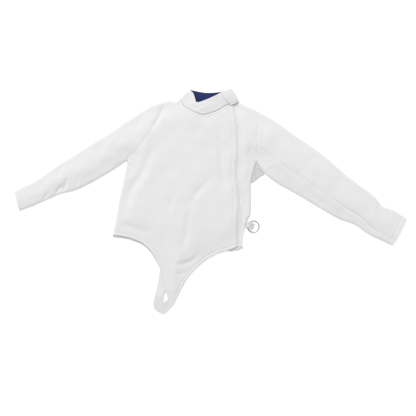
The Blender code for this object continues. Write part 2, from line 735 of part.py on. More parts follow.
# Underarm gusset, folded in two along its outer edge
side_edge, sleeve_edge = ROLLED[4], ROLLED[3]
on_side, on_sleeve = side_edge[:, 1] > GUSSET_SIDE_Y, sleeve_edge[:, 0] < GUSSET_SLEEVE_X
seam_line = []
for line, wanted in ((side_edge, on_side), (sleeve_edge, on_sleeve)):
    _, inward = nearest(line, line)
    seam_line.append((line - inward * GAP * 1.5)[wanted & (line[:, 1] < GUSSET_SEAM_TOP)])
seam_line = [tuple(p) for p in np.vstack(seam_line)]
shares = np.linspace(0, 1, GUSSET_ROWS)
gusset_outer, gusset_inner = [], []
for (sx, sy), (fx, fy) in zip(at_share(seam_line, shares), at_share(GUSSET_FOLD, shares)):
    reach = math.hypot(fx - sx, fy - sy)
    way = np.array([sx - fx, sy - fy]) / reach
    middle = GUSSET_TOP / 2
    bend = min(middle, reach * 0.6)

    def on_row(along, z):
        return (fx + way[0] * along, fy + way[1] * along, z)

    def fold_row(wall):
        share = 1 - wall / middle
        turn = [math.radians(angle) for angle in (90, 126, 162, 198, 234, 270)]
        bent = [on_row(bend * (1 + share * math.cos(a)), middle * (1 + share * math.sin(a))) for a in turn]
        return [on_row(reach, GUSSET_TOP - wall)] + bent + [on_row(reach, wall)]

    gusset_outer.append(fold_row(0))
    gusset_inner.append(fold_row(GUSSET_WALL))
wall_over_grid("underarm_gusset", gusset_outer, gusset_inner, shell)

# Collar, a band from its slit round the back to the slit again
collar_outer, collar_inner = [], []
for r in range(COLLAR_ROWS + 1):
    height = max(r / COLLAR_ROWS, COLLAR_START)
    width = collar_width(height)
    surfaces, outs = [], []
    for layer, shares in collar_round(width):
        surface, out = skin(collar_plan(layer, shares, height), layer == "upper")
        surfaces.append(surface)
        outs.append(out)
    surface, out = np.vstack(surfaces), np.vstack(outs)
    collar_outer.append(surface)
    collar_inner.append(surface - out * COLLAR_WALL)
wall_over_grid("collar", collar_outer, collar_inner, shell)

# Navy lining, inside the collar
lining_outer, lining_inner = [], []
for height in np.linspace(LINING_LOW, LINING_HIGH, COLLAR_ROWS):
    end = LINING_IN / collar_width(height)
    slit = 2 / collar_width(height)
    left, left_out = skin(collar_plan("upper", [COLLAR_SLIT + slit, 1 - end], height), True)
    left_top = left - left_out * (COLLAR_WALL + LINING_CLEAR)
    left_inner = left_top - left_out * LINING_WALL
    left_inner[-1, 0] -= LINING_WALL
    low = collar_plan("under", np.linspace(1 - end, end, 5), height)
    under = np.column_stack([low, np.full(len(low), LINING_FLOOR)])
    under_inner = under + (0, 0, LINING_WALL)
    under_inner[0, 0] -= LINING_WALL
    under_inner[-1, 0] += LINING_WALL
    right, right_out = skin(collar_plan("upper", np.linspace(end, COLLAR_SLIT, 6), height), True)
    right_top = right - right_out * (COLLAR_WALL + LINING_CLEAR)
    right_inner = right_top - right_out * LINING_WALL
    right_inner[0, 0] += LINING_WALL
    lining_outer.append(np.vstack([left_top, under, right_top]))
    lining_inner.append(np.vstack([left_inner, under_inner, right_inner]))
wall_over_grid("collar_lining", lining_outer, lining_inner, lining)


# Collar tab, sewn at one end and free at the other
def keep_collar_height(points):
    return COLLAR_RISE - neck_rise(points)


tab_outline = np.vstack([collar_side(COLLAR_SIDE_LEFT)[1::3], smooth(COLLAR_TAB_EDGES[::-1], TAIL_END_STEP)])
wall_over_outline(
    "collar_tab",
    tab_outline,
    shell,
    "upper",
    [collar_side(COLLAR_SIDE_LEFT)[::2]],
    lift=WALL + TAB_CLEAR,
    change=keep_collar_height,
    step=COLLAR_TAB_GRID,
)

# Crotch elastic
elastic_table = np.array(ELASTIC, float)
elastic_rows = [at_row(elastic_table, place) for place in np.linspace(0, len(ELASTIC) - 1, ELASTIC_STEPS)]
elastic_plan = [[row[:2], (row[:2] + row[2:]) / 2, row[2:]] for row in elastic_rows]
elastic_top = [[(x, y, ELASTIC_WALL) for x, y in row] for row in elastic_plan]
elastic_under = [[(x, y, 0.0) for x, y in row] for row in elastic_plan]
wall_over_grid("crotch_elastic", elastic_top, elastic_under, ribbed)

# Waist tab, a folded loop of webbing whose ends are in the side seam
tab_along = np.array([math.cos(TAB_TURN), math.sin(TAB_TURN)])
tab_across = np.array([-tab_along[1], tab_along[0]])


def from_tab(along, across, z):
    x, y = np.array(TAB_ROOT) + tab_along * along + tab_across * across
    return (x, y, z)


profile = np.array(TAB_PROFILE, float)
profile_inner = inset(profile, WEBBING_WALL)
tab_outer = [[from_tab(a, b, z) for a, z in profile] for b in (-TAB_HALF_WIDTH, TAB_HALF_WIDTH)]
tab_inner = [[from_tab(a, b, z) for a, z in profile_inner] for b in (-TAB_HALF_WIDTH, TAB_HALF_WIDTH)]
wall_over_grid("waist_tab", tab_outer, tab_inner, webbing, closed=True)

# Ring, which pivots on its stretch of wire inside the tab and rests on the surface at its far side
pivot_along, pivot_z = RING_PIVOT
tilt = math.asin((pivot_z - RING_WIRE) / (2 * RING_RADIUS))
ring_points = []
for turn in np.linspace(0, math.tau, RING_STEPS, endpoint=False):
    for twist in np.linspace(0, math.tau, WIRE_STEPS, endpoint=False):
        reach = RING_RADIUS + RING_WIRE * math.cos(twist)
        flat = RING_RADIUS + reach * math.cos(turn)
        rise = RING_WIRE * math.sin(twist)
        along = flat * math.cos(tilt) + rise * math.sin(tilt)
        across = reach * math.sin(turn)
        z = rise * math.cos(tilt) - flat * math.sin(tilt)
        x, y = tab_along * along + tab_across * across
        ring_points.append((x, y, z))
ring_faces = []
for i in range(RING_STEPS):
    for j in range(WIRE_STEPS):
        next_i, next_j = (i + 1) % RING_STEPS, (j + 1) % WIRE_STEPS
        corners = ((i, j), (next_i, j), (next_i, next_j), (i, next_j))
        ring_faces.append([a * WIRE_STEPS + b for a, b in corners])
pivot = from_tab(pivot_along, 0, pivot_z)
add_object("ring", ring_points, ring_faces, metal, [c * MM for c in pivot])
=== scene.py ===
"""Fencing jacket, laid flat on its back: its finished cloth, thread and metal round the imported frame.

+Y is towards the collar and the wearer's right is -X. Tables are in millimetres, and meshes are in metres.
"""

import math

import bpy
import numpy as np
from mathutils import Matrix, Vector, geometry, kdtree


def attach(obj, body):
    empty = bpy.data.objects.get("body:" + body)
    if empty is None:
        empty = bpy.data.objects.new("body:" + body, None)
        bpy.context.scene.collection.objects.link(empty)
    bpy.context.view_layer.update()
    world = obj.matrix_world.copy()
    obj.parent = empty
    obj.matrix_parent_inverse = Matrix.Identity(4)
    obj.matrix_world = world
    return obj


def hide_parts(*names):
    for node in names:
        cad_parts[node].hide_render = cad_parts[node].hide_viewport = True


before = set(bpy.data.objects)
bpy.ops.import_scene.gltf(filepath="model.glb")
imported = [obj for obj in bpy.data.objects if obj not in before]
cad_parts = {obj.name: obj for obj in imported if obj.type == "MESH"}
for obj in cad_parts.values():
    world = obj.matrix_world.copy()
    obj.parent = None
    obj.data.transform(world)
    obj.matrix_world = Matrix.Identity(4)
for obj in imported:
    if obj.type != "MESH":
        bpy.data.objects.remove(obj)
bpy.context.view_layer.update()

# --- Main front --------------------------------------------------------------
# The wide front, cut in one from the wearer's right side seam to the overlap, with a tail that runs down
# between the legs. Two plies of white cotton drill, folded in and stitched at the hem and along the
# overlap. It lies loosely over the back, so it is crowned, and it dips in long soft folds.

MM = 0.001
UP = (0, 0, 1)
DOWN = (0, 0, -1)
CLOTH_WALL = 2.0
SEAM_GAP = 0.04
EDGE_HEIGHT = 4.0  # of the side seam, and of every fold round the outside
UPPER_ROLL = 12.0  # how far in from a fold the upper layer reaches its first height
UNDER_ROLL = 6.0
FIRST_HEIGHT = 11.0
CROWN = 8.0
CROWN_REACH = 45.0
HEM_HEIGHT = 8.4
HEM_REACH = 70.0
COLLAR_RISE = 5.4
COLLAR_STEP = 2.0  # of that, straight from the neck seam
COLLAR_REACH = 34.0
NECK_LOW_Y = 330.0
FINE_STEP = 4.0
ROW_APART = 1.1  # about how near each other the points in rows may lie
EDGE_APART = 0.75  # and how near an outline
SPLINE_STEPS = 24
LARGEST_TABLE = 1500000  # point and segment pairs measured at once
HEM_STITCH = 11.0  # from the hem's edge to its stitches
THREAD_RISE = 0.15  # of the thread's middle above the cloth
SHARP = math.radians(62)
SEWN_BULGE = 0.05  # of a sewn edge's rim
FREE_BULGE = 0.3  # of a free edge's rim, as a share of its wall
FREE_REACH = 1.2  # how near a free edge its rim lies
LEVEL_HEIGHT = 0.2  # rims this near the edge height and an outer fold butt level against their mates
LEVEL_REACH = 0.5
GROOVE_OFFSETS = (-2.8, -1.3, 0.0, 1.3, 2.8)  # rows of points that shape a stitched groove
ROLL_OFFSETS = (0.9, 2.0, 3.6, 5.8, 8.6, 12.0)  # and a rolled fold

SHOULDER_RIGHT = [(-186, 389), (-160, 394), (-138, 391), (-118, 400)]
ARMHOLE_RIGHT = [(-186, 389), (-190, 353), (-213, 306), (-249, 253), (-289, 203), (-324, 156)]
SIDE_RIGHT = [(-324, 156), (-336, 97), (-355, 10), (-370, -78), (-381, -133)]
HEM_RIGHT = [(-381, -133), (-350, -136), (-317, -143), (-268, -162), (-236, -190), (-211, -227), (-193, -271)]
TAIL_RIGHT = [(-193, -271), (-184, -315), (-174, -355), (-165, -384)]
TAIL_END = [(-165, -384), (-129, -381)]
HEM_LEFT = [(-129, -381), (-111, -341), (-80, -291), (-30, -241), (20, -209), (76, -190), (106, -178)]
OVERLAP_EDGE = [
    (106, -178), (106, -110), (108, -51), (112, 4), (106, 58),
    (101, 105), (106, 202), (103, 277), (94, 351), (88, 384),
]
NECK_FRONT = [
    (88, 384), (59, 371), (33, 355), (7, 344), (-28, 336), (-56, 344), (-80, 357), (-102, 371), (-118, 400),
]
NECK_END = [(112, 391), (88, 384)]
SHOULDER_LEFT = [(112, 391), (120, 382), (166, 361), (186, 351)]
ARMHOLE_LEFT = [(186, 351), (188, 290), (185, 220), (180, 150)]
SIDE_LEFT = [
    (180, 150), (168, 108), (159, 68), (160, 23), (158, -47),
    (144, -78), (135, -109), (127, -152), (127, -179),
]
COLLAR_SIDE_RIGHT = [(-118, 400), (-82, 435)]
COLLAR_SIDE_LEFT = [(112, 391), (83, 441)]
COLLAR_BOW = 3.5
TAIL_HEIGHTS = [(-384, 2.3), (-368, 3.2), (-345, 5.4), (-300, 6.0), (-250, 6.8), (-190, HEM_HEIGHT)]

# Sleeves, from the armhole to the cuff: upper x, upper y, lower x, lower y, share of the width at the front
# seam
SLEEVE_RIGHT = [
    (-186, 389, -324, 156, 0.2),
    (-243, 366, -338, 149, 0.2),
    (-305, 327, -358, 134, 0.2),
    (-391, 269, -402, 107, 0.2),
    (-480, 214, -455, 76, 0.2),
    (-570, 156, -523, 43, 0.2),
    (-625, 121, -585, 27, 0.2),
    (-675, 85, -642, 2, 0.2),
    (-720, 62, -698, -22, 0.2),
    (-765, 38, -745, -39, 0.2),
]
SLEEVE_LEFT = [
    (186, 351, 180, 150, 0.33),
    (250, 315, 212, 107, 0.34),
    (324, 262, 262, 68, 0.35),
    (431, 188, 335, 27, 0.34),
    (533, 101, 446, -39, 0.34),
    (590, 58, 505, -72, 0.31),
    (640, 20, 562, -92, 0.27),
    (673, -19, 614, -128, 0.22),
    (711, -32, 662, -152, 0.19),
    (767, -67, 709, -174, 0.18),
]

# Folds of the upper layer: half width, depth, height of the ridge on its left, and the line it follows
FOLDS = [
    (16, 5.2, 1.6, [(-214, 228), (-240, 172), (-262, 114), (-290, 70), (-311, 36), (-322, -10), (-325, -66)]),
    (26, 1.6, 0.0, [(-280, 160), (-320, 60), (-345, -40)]),
    (9, 3.0, 0.8, [(-186, 372), (-190, 350), (-204, 318), (-236, 276)]),
    (13, 4.2, 0.9, [(18, 252), (38, 210), (43, 160), (47, 100), (60, 38)]),
    (12, 2.4, 0.6, [(6, 100), (-20, 66), (-44, 40), (-66, 8), (-76, -30)]),
    (13, 3.4, 0.9, [(-78, -26), (-88, -70), (-95, -133), (-112, -196)]),
    (9, 3.0, 0.9, [(-140, -250), (-112, -246), (-80, -238), (-60, -222), (-44, -200)]),
    (9, 1.6, 0.4, [(-140, 40), (-150, 10), (-158, -30), (-162, -62)]),
    (12, 1.8, 0.8, [(-352, -84), (-312, -100), (-278, -112), (-246, -134)]),
    (9, 1.9, 0.6, [(-250, -98), (-232, -124), (-214, -158)]),
    (20, 1.4, 0.0, [(-196, 60), (-214, 0), (-226, -60)]),
    (8, 1.3, 0.5, [(-84, -272), (-112, -284), (-142, -286)]),
    (6, 1.0, 0.4, [(20, -150), (30, -176), (44, -192)]),
    (4.0, 1.3, 0.5, [(-318, 162), (-306, 160), (-292, 150)]),
    (3.8, 1.2, 0.5, [(-326, 142), (-312, 140), (-298, 130)]),
    (3.6, 1.0, 0.4, [(-330, 124), (-318, 122), (-306, 112)]),
    (3.4, 0.8, 0.3, [(-336, 106), (-324, 102), (-314, 96)]),
    (7, 2.2, 0.7, [(122, -74), (124, -110), (121, -144)]),
    (6, 2.3, 0.8, [(134, -84), (128, -62), (119, -24)]),
    (5, 1.9, 0.6, [(150, -60), (142, -34), (137, 0)]),
    (5, 1.6, 0.6, [(150, 48), (142, 10), (133, -24)]),
    (6, 1.2, 0.4, [(160, 120), (148, 96), (140, 60)]),
    (8, 2.4, 0.6, [(184, 300), (183, 262), (180, 226)]),
    (9, 1.3, 0.3, [(208, 306), (206, 262), (200, 220)]),
    (8, 1.3, 0.4, [(168, 214), (150, 190), (140, 160)]),
    # right sleeve
    (9, 2.0, 0.6, [(-576, 150), (-584, 120), (-596, 86)]),
    (8, 4.6, 1.0, [(-556, 90), (-568, 56), (-580, 30)]),
    (6, 4.4, 0.8, [(-578, 64), (-592, 42), (-606, 22)]),
    (7, 2.0, 0.6, [(-510, 112), (-514, 88), (-520, 60)]),
    (6, 3.2, 0.6, [(-632, 34), (-646, 12), (-658, -4)]),
    (7, 2.6, 0.6, [(-346, 156), (-358, 140), (-376, 128)]),
    (6, 2.6, 0.6, [(-308, 186), (-318, 170), (-332, 154)]),
    (16, 1.5, 0.8, [(-400, 226), (-440, 178), (-470, 130)]),
    (12, 1.2, 0.5, [(-350, 260), (-372, 214), (-384, 176)]),
    (10, 1.0, 0.4, [(-640, 92), (-662, 56), (-668, 30)]),
    (12, 1.0, 0.4, [(-690, 52), (-716, 26), (-728, 0)]),
    (5, 0.9, 0.3, [(-606, 118), (-590, 126), (-566, 146)]),
    (14, 1.2, 0.5, [(-262, 330), (-284, 292), (-300, 250)]),
    # left sleeve
    (8, 3.0, 0.8, [(676, -22), (690, -38), (697, -60), (698, -84)]),
    (9, 1.8, 0.5, [(334, 120), (350, 88), (366, 56)]),
    (9, 1.8, 0.5, [(506, -26), (524, -52), (534, -78)]),
    (7, 1.2, 0.4, [(292, 108), (306, 88), (322, 72)]),
    (7, 1.3, 0.4, [(404, 24), (424, 2), (440, -22)]),
    (6, 1.2, 0.4, [(448, 2), (470, -18), (490, -46)]),
    (14, 1.1, 0.4, [(590, 30), (612, -14), (622, -60)]),
    (10, 1.2, 0.4, [(646, -20), (660, -52), (664, -84)]),
    (18, 1.3, 0.4, [(430, 150), (420, 90), (432, 44)]),
    (8, 1.2, 0.4, [(706, -64), (716, -96), (722, -128)]),
    (12, 1.4, 0.4, [(236, 236), (256, 190), (262, 152)]),
    (6, 1.1, 0.4, [(226, 122), (240, 130), (262, 128)]),
    (5, 1.0, 0.4, [(214, 140), (232, 150), (254, 150)]),
    (6, 1.5, 0.3, [(470, 12), (531, -32), (583, -62), (627, -104), (668, -128)]),
]
FOLD_SCALE = 1.0
RIDGE_SCALE = 0.45
RIDGE_AT = 1.9  # in half widths of its fold
RIDGE_WIDTH = 1.1
# Wide low waves of slack cloth: height, radians for each mm along x and along y, and where the wave starts
SLACK = [
    (0.55, 0.041, 0.017, 0.4),
    (0.45, -0.026, 0.045, 2.1),
    (0.3, 0.071, -0.052, 4.0),
    (0.2, 0.013, 0.108, 1.2),
]
SLACK_REACH = 40.0  # over which they fade in from a fold round the outside
SLACK_HEM_REACH = 50.0
# Half width, depth and pucker of a groove
SEAM_GROOVE = (3.0, 0.85, 0.30)
STITCH_GROOVE = (2.0, 0.85, 0.2)
UNDER_GROOVE = (1.8, 0.5, 0.1)


def spline(a, b, c, d, t):
    """The point a share t of the way from b to c, on a smooth curve that passes a and d too."""
    return (2 * b + (c - a) * t + (2 * a - 5 * b + 4 * c - d) * t**2 + (3 * b - a - 3 * c + d) * t**3) / 2


def lengths_along(line):
    return np.concatenate([[0], np.cumsum(np.linalg.norm(np.diff(line, axis=0), axis=1))])


def spots_on(line, lengths):
    """The points of a line at lengths along it."""
    marks = lengths_along(line)
    return np.column_stack([np.interp(lengths, marks, line[:, k]) for k in range(2)])


def smooth(points, step=FINE_STEP, count=None):
    """A curve through the points, cut into even lengths of about one step."""
    knots = np.array(points, float)
    if len(knots) > 2:
        before, after = 2 * knots[0] - knots[1], 2 * knots[-1] - knots[-2]
        padded = np.vstack([before[None], knots, after[None]])
        fine = [
            spline(a, b, c, d, t)
            for a, b, c, d in zip(padded, padded[1:], padded[2:], padded[3:])
            for t in np.linspace(0, 1, SPLINE_STEPS, endpoint=False)
        ]
        knots = np.vstack([fine, knots[-1:]])
    length = lengths_along(knots)[-1]
    parts = count or max(1, round(length / step))
    return spots_on(knots, np.linspace(0, length, parts + 1))


def nearest(points, line):
    """For each point: how far a line is, the way to the line's left, its side, and its share along it."""
    start, span = line[:-1], np.diff(line, axis=0)
    length = np.linalg.norm(span, axis=1)
    along = np.concatenate([[0], np.cumsum(length)]) / length.sum()
    found = []
    for group in np.array_split(points, len(points) * len(start) // LARGEST_TABLE + 1):
        dx = group[:, None, 0] - start[None, :, 0]
        dy = group[:, None, 1] - start[None, :, 1]
        share = np.clip((dx * span[:, 0] + dy * span[:, 1]) / length**2, 0, 1)
        away = (dx - share * span[:, 0]) ** 2 + (dy - share * span[:, 1]) ** 2
        best = np.argmin(away, axis=1)
        rows = np.arange(len(group))
        left = np.column_stack([-span[best, 1], span[best, 0]]) / length[best][:, None]
        side = np.sign(dx[rows, best] * left[:, 0] + dy[rows, best] * left[:, 1])
        share = along[best] + share[rows, best] * (along[best + 1] - along[best])
        found.append((np.sqrt(away[rows, best]), left, side, share))
    return [np.concatenate(column) for column in zip(*found)]


def bell(distance, reach=1.0):
    """1 at no distance, and nearly 0 at twice the reach."""
    return np.exp(-((distance / reach) ** 2))


def gap(points, line):
    """How far each point is from a line."""
    return nearest(points, line)[0]


def unit(vectors):
    return vectors / np.maximum(np.linalg.norm(vectors, axis=1)[:, None], 1e-9)


def beside(line, distance):
    """A line moved sideways to its left."""
    run = unit(np.gradient(line, axis=0))
    return line + distance * np.column_stack([-run[:, 1], run[:, 0]])


def stitched(line, offset, first, last):
    """A row of stitches along the left of a line, short of its two ends by the first and last lengths."""
    line = beside(line, offset)
    length = lengths_along(line)[-1]
    return spots_on(line, np.linspace(first, length - last, max(2, int((length - first - last) / FINE_STEP))))


def ease(t):
    t = np.clip(t, 0, 1)
    return t * t * (3 - 2 * t)


def bow(side, height):
    """How far one of the collar's outer edges bows out, at a share of its height or at several."""
    (x0, y0), (x1, y1) = side
    out = np.array([y1 - y0, x0 - x1]) / math.hypot(x1 - x0, y1 - y0) * (1 if x0 > 0 else -1)
    return out * COLLAR_BOW * 4 * height * (1 - height)


def collar_side(side):
    """The collar's outer edge from the neck seam to its top corner, bowed out a little."""
    low, top = np.array(side, float)
    height = np.linspace(0, 1, 19)[:, None]
    return low + height * (top - low) + bow(side, height)


def sleeve_edge(table, column):
    return smooth([(row[column], row[column + 1]) for row in table])


# The folds round the outside, each with the jacket on its left
ROLLED = [
    smooth(SHOULDER_LEFT[::-1]),
    collar_side(COLLAR_SIDE_LEFT),
    sleeve_edge(SLEEVE_LEFT, 0)[::-1],
    sleeve_edge(SLEEVE_LEFT, 2),
    smooth(SIDE_LEFT[::-1]),
    smooth(SIDE_RIGHT),
    sleeve_edge(SLEEVE_RIGHT, 2)[::-1],
    sleeve_edge(SLEEVE_RIGHT, 0),
    smooth(SHOULDER_RIGHT),
    collar_side(COLLAR_SIDE_RIGHT)[::-1],
]
HEMS = [smooth(HEM_RIGHT + TAIL_RIGHT[1:]), smooth(HEM_LEFT)]
NECK_LINE = smooth(NECK_END + NECK_FRONT[1:])
OVERLAP_LINE = smooth(OVERLAP_EDGE)
SEAMS = [smooth(ARMHOLE_RIGHT), smooth(ARMHOLE_LEFT)]  # in the upper layer; the left sleeve adds its own
TOPSTITCH = [
    stitched(smooth(SIDE_RIGHT[-2:] + HEM_RIGHT[1:])[20:], HEM_STITCH, 4, 0),
    stitched(smooth(TAIL_RIGHT), HEM_STITCH - 4, 2, 6),
    stitched(smooth(HEM_LEFT), HEM_STITCH, 8, 4),
    stitched(OVERLAP_LINE, 3, 3, 5),
    stitched(OVERLAP_LINE, 18, 8, 14),
    stitched(NECK_LINE, 11, 8, 12),
    stitched(smooth(ARMHOLE_RIGHT), 5, 3, 3),
]


def near(points, line, reach):
    """The rows of the points within reach of a line's box."""
    low, high = line.min(axis=0) - reach, line.max(axis=0) + reach
    return np.nonzero(np.all((points > low) & (points < high), axis=1))[0]


def folded(points):
    """How much lower the folds make the upper layer."""
    drop = np.zeros(len(points))
    for half_width, depth, ridge, path in FOLDS:
        line = smooth(path, 8)
        rows = near(points, line, 3.5 * half_width)
        if len(rows):
            distance, _, side, share = nearest(points[rows], line)
            across = distance * side / half_width
            ends = np.clip(4 * share * (1 - share), 0, 1) ** 0.8
            crest = RIDGE_SCALE * ridge * bell(across - RIDGE_AT, RIDGE_WIDTH)
            drop[rows] += ends * (FOLD_SCALE * depth * bell(across) - crest)
    return drop


def sewn(points, lines, half_width, depth, pucker, reach=7.0, length=13.0):
    """How much lower rows of stitching pull the cloth, with small puckers beside them."""
    drop = np.zeros(len(points))
    for number, line in enumerate(lines):
        rows = near(points, line, 3 * reach)
        if len(rows):
            distance, _, _, share = nearest(points[rows], line)
            turns = share * lengths_along(line)[-1] * math.tau / length
            wave = np.sin(turns + number) + 0.6 * np.sin(turns / 0.61 + 2)
            drop[rows] += depth * bell(distance, half_width)
            drop[rows] += pucker * wave * bell(distance, reach)
    return drop


def neck_rise(points):
    """How much higher the collar lies than the front."""
    distance = gap(points, NECK_LINE)
    above = points[:, 1] > np.interp(points[:, 0], NECK_LINE[::-1, 0], NECK_LINE[::-1, 1])
    rise = COLLAR_STEP * ease(distance / 3) + (COLLAR_RISE - COLLAR_STEP) * ease(distance / COLLAR_REACH)
    return np.where(above & (points[:, 1] > NECK_LOW_Y), rise, 0)


UNDER_LINES = []  # stitched lines of the under layer, which the back and the sleeves add


def skin(points, upper, change=None):
    """Surface points of one layer over plan points. change(points) is added to the height."""
    points = np.asarray(points, float)
    gaps = np.array([gap(points, line) for line in ROLLED])
    distance = np.maximum(gaps.min(axis=0) - SEAM_GAP / 2, 0)
    if upper:
        crown = np.prod(1 - bell(gaps, CROWN_REACH), axis=0)
        height = FIRST_HEIGHT + CROWN * crown
        hem = np.min([gap(points, line) for line in HEMS], axis=0)
        low = np.interp(points[:, 1], [y for y, _ in TAIL_HEIGHTS], [z for _, z in TAIL_HEIGHTS])
        height = low + (height - low) * (1 - bell(hem, HEM_REACH))
        loose = ease(distance / SLACK_REACH) * ease(hem / SLACK_HEM_REACH)
        for size, turn_x, turn_y, start in SLACK:
            height = height + size * loose * np.sin(points[:, 0] * turn_x + points[:, 1] * turn_y + start)
        height = height + neck_rise(points) - folded(points)
        height = height - sewn(points, SEAMS, *SEAM_GROOVE) - sewn(points, TOPSTITCH, *STITCH_GROOVE)
        height = height + (change(points) if change else 0)
        sine = np.sqrt(1 - np.clip(1 - distance / UPPER_ROLL, 0, 1) ** 2)
        edge = EDGE_HEIGHT + SEAM_GAP / 2
        z = edge + (height - edge) * sine
    else:
        sine = np.sqrt(1 - np.clip(1 - distance / UNDER_ROLL, 0, 1) ** 2)
        edge = EDGE_HEIGHT - SEAM_GAP / 2
        z = edge * (1 - sine)
        z = z + sine * np.maximum(sewn(points, UNDER_LINES, *UNDER_GROOVE) + 0.1, 0)
        z = z + (change(points) if change else 0)
    return np.column_stack([points, z])


def inside(points, outline):
    """Which points lie inside a closed outline."""
    crossings = np.zeros(len(points), int)
    for (ax, ay), (bx, by) in zip(outline, np.roll(outline, -1, axis=0)):
        if ay != by:
            crosses = (ay > points[:, 1]) != (by > points[:, 1])
            crossings += crosses & (points[:, 0] < ax + (points[:, 1] - ay) * (bx - ax) / (by - ay))
    return crossings % 2 == 1


def joined(*curves):
    """Curves end to end, with each shared corner once."""
    points = [curves[0]]
    for curve in curves[1:]:
        points.append(curve[1:] if np.allclose(curve[0], points[-1][-1], atol=0.5) else curve)
    outline = np.vstack(points)
    return outline[:-1] if np.allclose(outline[0], outline[-1], atol=0.5) else outline


def inset(outline, amount):
    """A closed outline moved in by an amount."""
    run = unit(np.roll(outline, -1, axis=0) - np.roll(outline, 1, axis=0))
    area = np.sum(outline[:, 0] * np.roll(outline[:, 1], -1) - outline[:, 1] * np.roll(outline[:, 0], -1))
    return outline + amount * np.sign(area) * np.column_stack([-run[:, 1], run[:, 0]])


def plan_mesh(outline, rolled, grooves, step=FINE_STEP):
    """Plan points and triangles over a closed outline, with rows of points along its folds and grooves."""
    outline = inset(outline, SEAM_GAP / 2)
    rows = [beside(line, offset) for line in rolled for offset in ROLL_OFFSETS]
    rows += [beside(line, offset) for line in grooves for offset in GROOVE_OFFSETS]
    closed = np.vstack([outline, outline[:1]])
    rows = np.vstack(rows)
    _, first = np.unique(np.round(rows / ROW_APART), axis=0, return_index=True)
    rows = rows[np.sort(first)]
    kept = rows[inside(rows, outline) & (gap(rows, closed) > EDGE_APART)]
    low, high = outline.min(axis=0), outline.max(axis=0)
    grid = []
    for k, y in enumerate(np.arange(low[1] + step / 2, high[1], step * 0.87)):
        xs = np.arange(low[0] + (step / 2 if k % 2 else 0), high[0], step)
        grid.append(np.column_stack([xs, np.full(len(xs), y)]))
    grid = np.vstack(grid)
    grid = grid[inside(grid, outline)]
    grid = grid[gap(grid, closed) > step * 0.5]
    taken = kdtree.KDTree(len(kept))
    for k, (x, y) in enumerate(kept):
        taken.insert((x, y, 0), k)
    taken.balance()
    grid = grid[[taken.find((x, y, 0))[2] > step * 0.6 for x, y in grid]]
    flat = [tuple(p) for p in np.vstack([outline, kept, grid])]
    points, _, faces, _, _, _ = geometry.delaunay_2d_cdt(flat, [], [list(range(len(outline)))], 1, 0.01)
    return np.array([tuple(p) for p in points]), np.array([tuple(f) for f in faces])


def cloth(name, surface, faces, finish, outward, wall=CLOTH_WALL, free=()):
    """A closed sheet of cloth: its surface, a wall behind it, and a rim, rounded along its free edges."""
    surface, faces = np.asarray(surface, float), np.asarray(faces)
    a, b, c = (surface[faces[:, k]] for k in range(3))
    normal = np.zeros_like(surface)
    for k in range(3):
        np.add.at(normal, faces[:, k], np.cross(b - a, c - a))
    if np.sum(normal * outward) < 0:
        faces, normal = faces[:, ::-1], -normal
    normal = unit(normal)
    sides = np.vstack([faces[:, [0, 1]], faces[:, [1, 2]], faces[:, [2, 0]]])
    code, back_code = sides[:, 0] * len(surface) + sides[:, 1], sides[:, 1] * len(surface) + sides[:, 0]
    rim = sides[~np.isin(code, back_code)]
    count = len(surface)
    way = np.zeros_like(surface)
    run = surface[rim[:, 1]] - surface[rim[:, 0]]
    for end in range(2):
        np.add.at(way, rim[:, end], np.cross(run, normal[rim[:, end]]))
    on_rim = np.unique(rim)
    way[on_rim] = unit(way[on_rim])
    bulge = np.full(len(on_rim), SEWN_BULGE)
    for line in free:
        bulge[gap(surface[on_rim, :2], line) < FREE_REACH] = wall * FREE_BULGE
    rim_normal = normal[on_rim]
    off_fold = np.min([gap(surface[on_rim, :2], line) for line in ROLLED], axis=0)
    level = (abs(surface[on_rim, 2] - EDGE_HEIGHT) < LEVEL_HEIGHT) & (off_fold < LEVEL_REACH)
    rim_normal[level, 2] = 0
    normal[on_rim] = unit(rim_normal)
    middle = surface[on_rim] - normal[on_rim] * wall / 2 + way[on_rim] * bulge[:, None]
    points = np.vstack([surface, surface - normal * wall, middle]) * MM
    place = np.zeros(count, int)
    place[on_rim] = 2 * count + np.arange(len(on_rim))
    p, q = rim[:, 0], rim[:, 1]
    front_rim = np.column_stack([q, p, place[p], place[q]])
    back_rim = np.column_stack([place[q], place[p], p + count, q + count])
    solid = [tuple(f) for f in np.vstack([faces, faces[:, ::-1] + count]).tolist()]
    solid += [tuple(f) for f in np.vstack([front_rim, back_rim]).tolist()]
    mesh = bpy.data.meshes.new(name)
    mesh.from_pydata(points.tolist(), [], solid)
    mesh.materials.append(finish)
    mesh.shade_smooth()
    mesh.set_sharp_from_angle(angle=SHARP)
    mesh.validate()
    piece = bpy.data.objects.new(name, mesh)
    bpy.context.scene.collection.objects.link(piece)
    return piece


def fit(piece, slot, *nodes, body="jacket"):
    """The piece stands for its CAD nodes, which it hides, and hangs on their body. The slot is not used."""
    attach(piece, body)
    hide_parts(*nodes)


def add(tree, kind, inputs=None, **settings):
    """Adds a node. inputs holds its sockets' values, or the sockets that feed them."""
    made = tree.nodes.new(kind)
    for key, value in settings.items():
        setattr(made, key, value)
    for key, value in (inputs or {}).items():
        if isinstance(value, bpy.types.NodeSocket):
            tree.links.new(value, made.inputs[key])
        else:
            made.inputs[key].default_value = value
    return made


def linear(code):
    """A colour's sRGB hex value as linear RGBA."""
    parts = [int(code[k : k + 2], 16) / 255 for k in (1, 3, 5)]
    return (*[c / 12.92 if c < 0.04045 else ((c + 0.055) / 1.055) ** 2.4 for c in parts], 1.0)


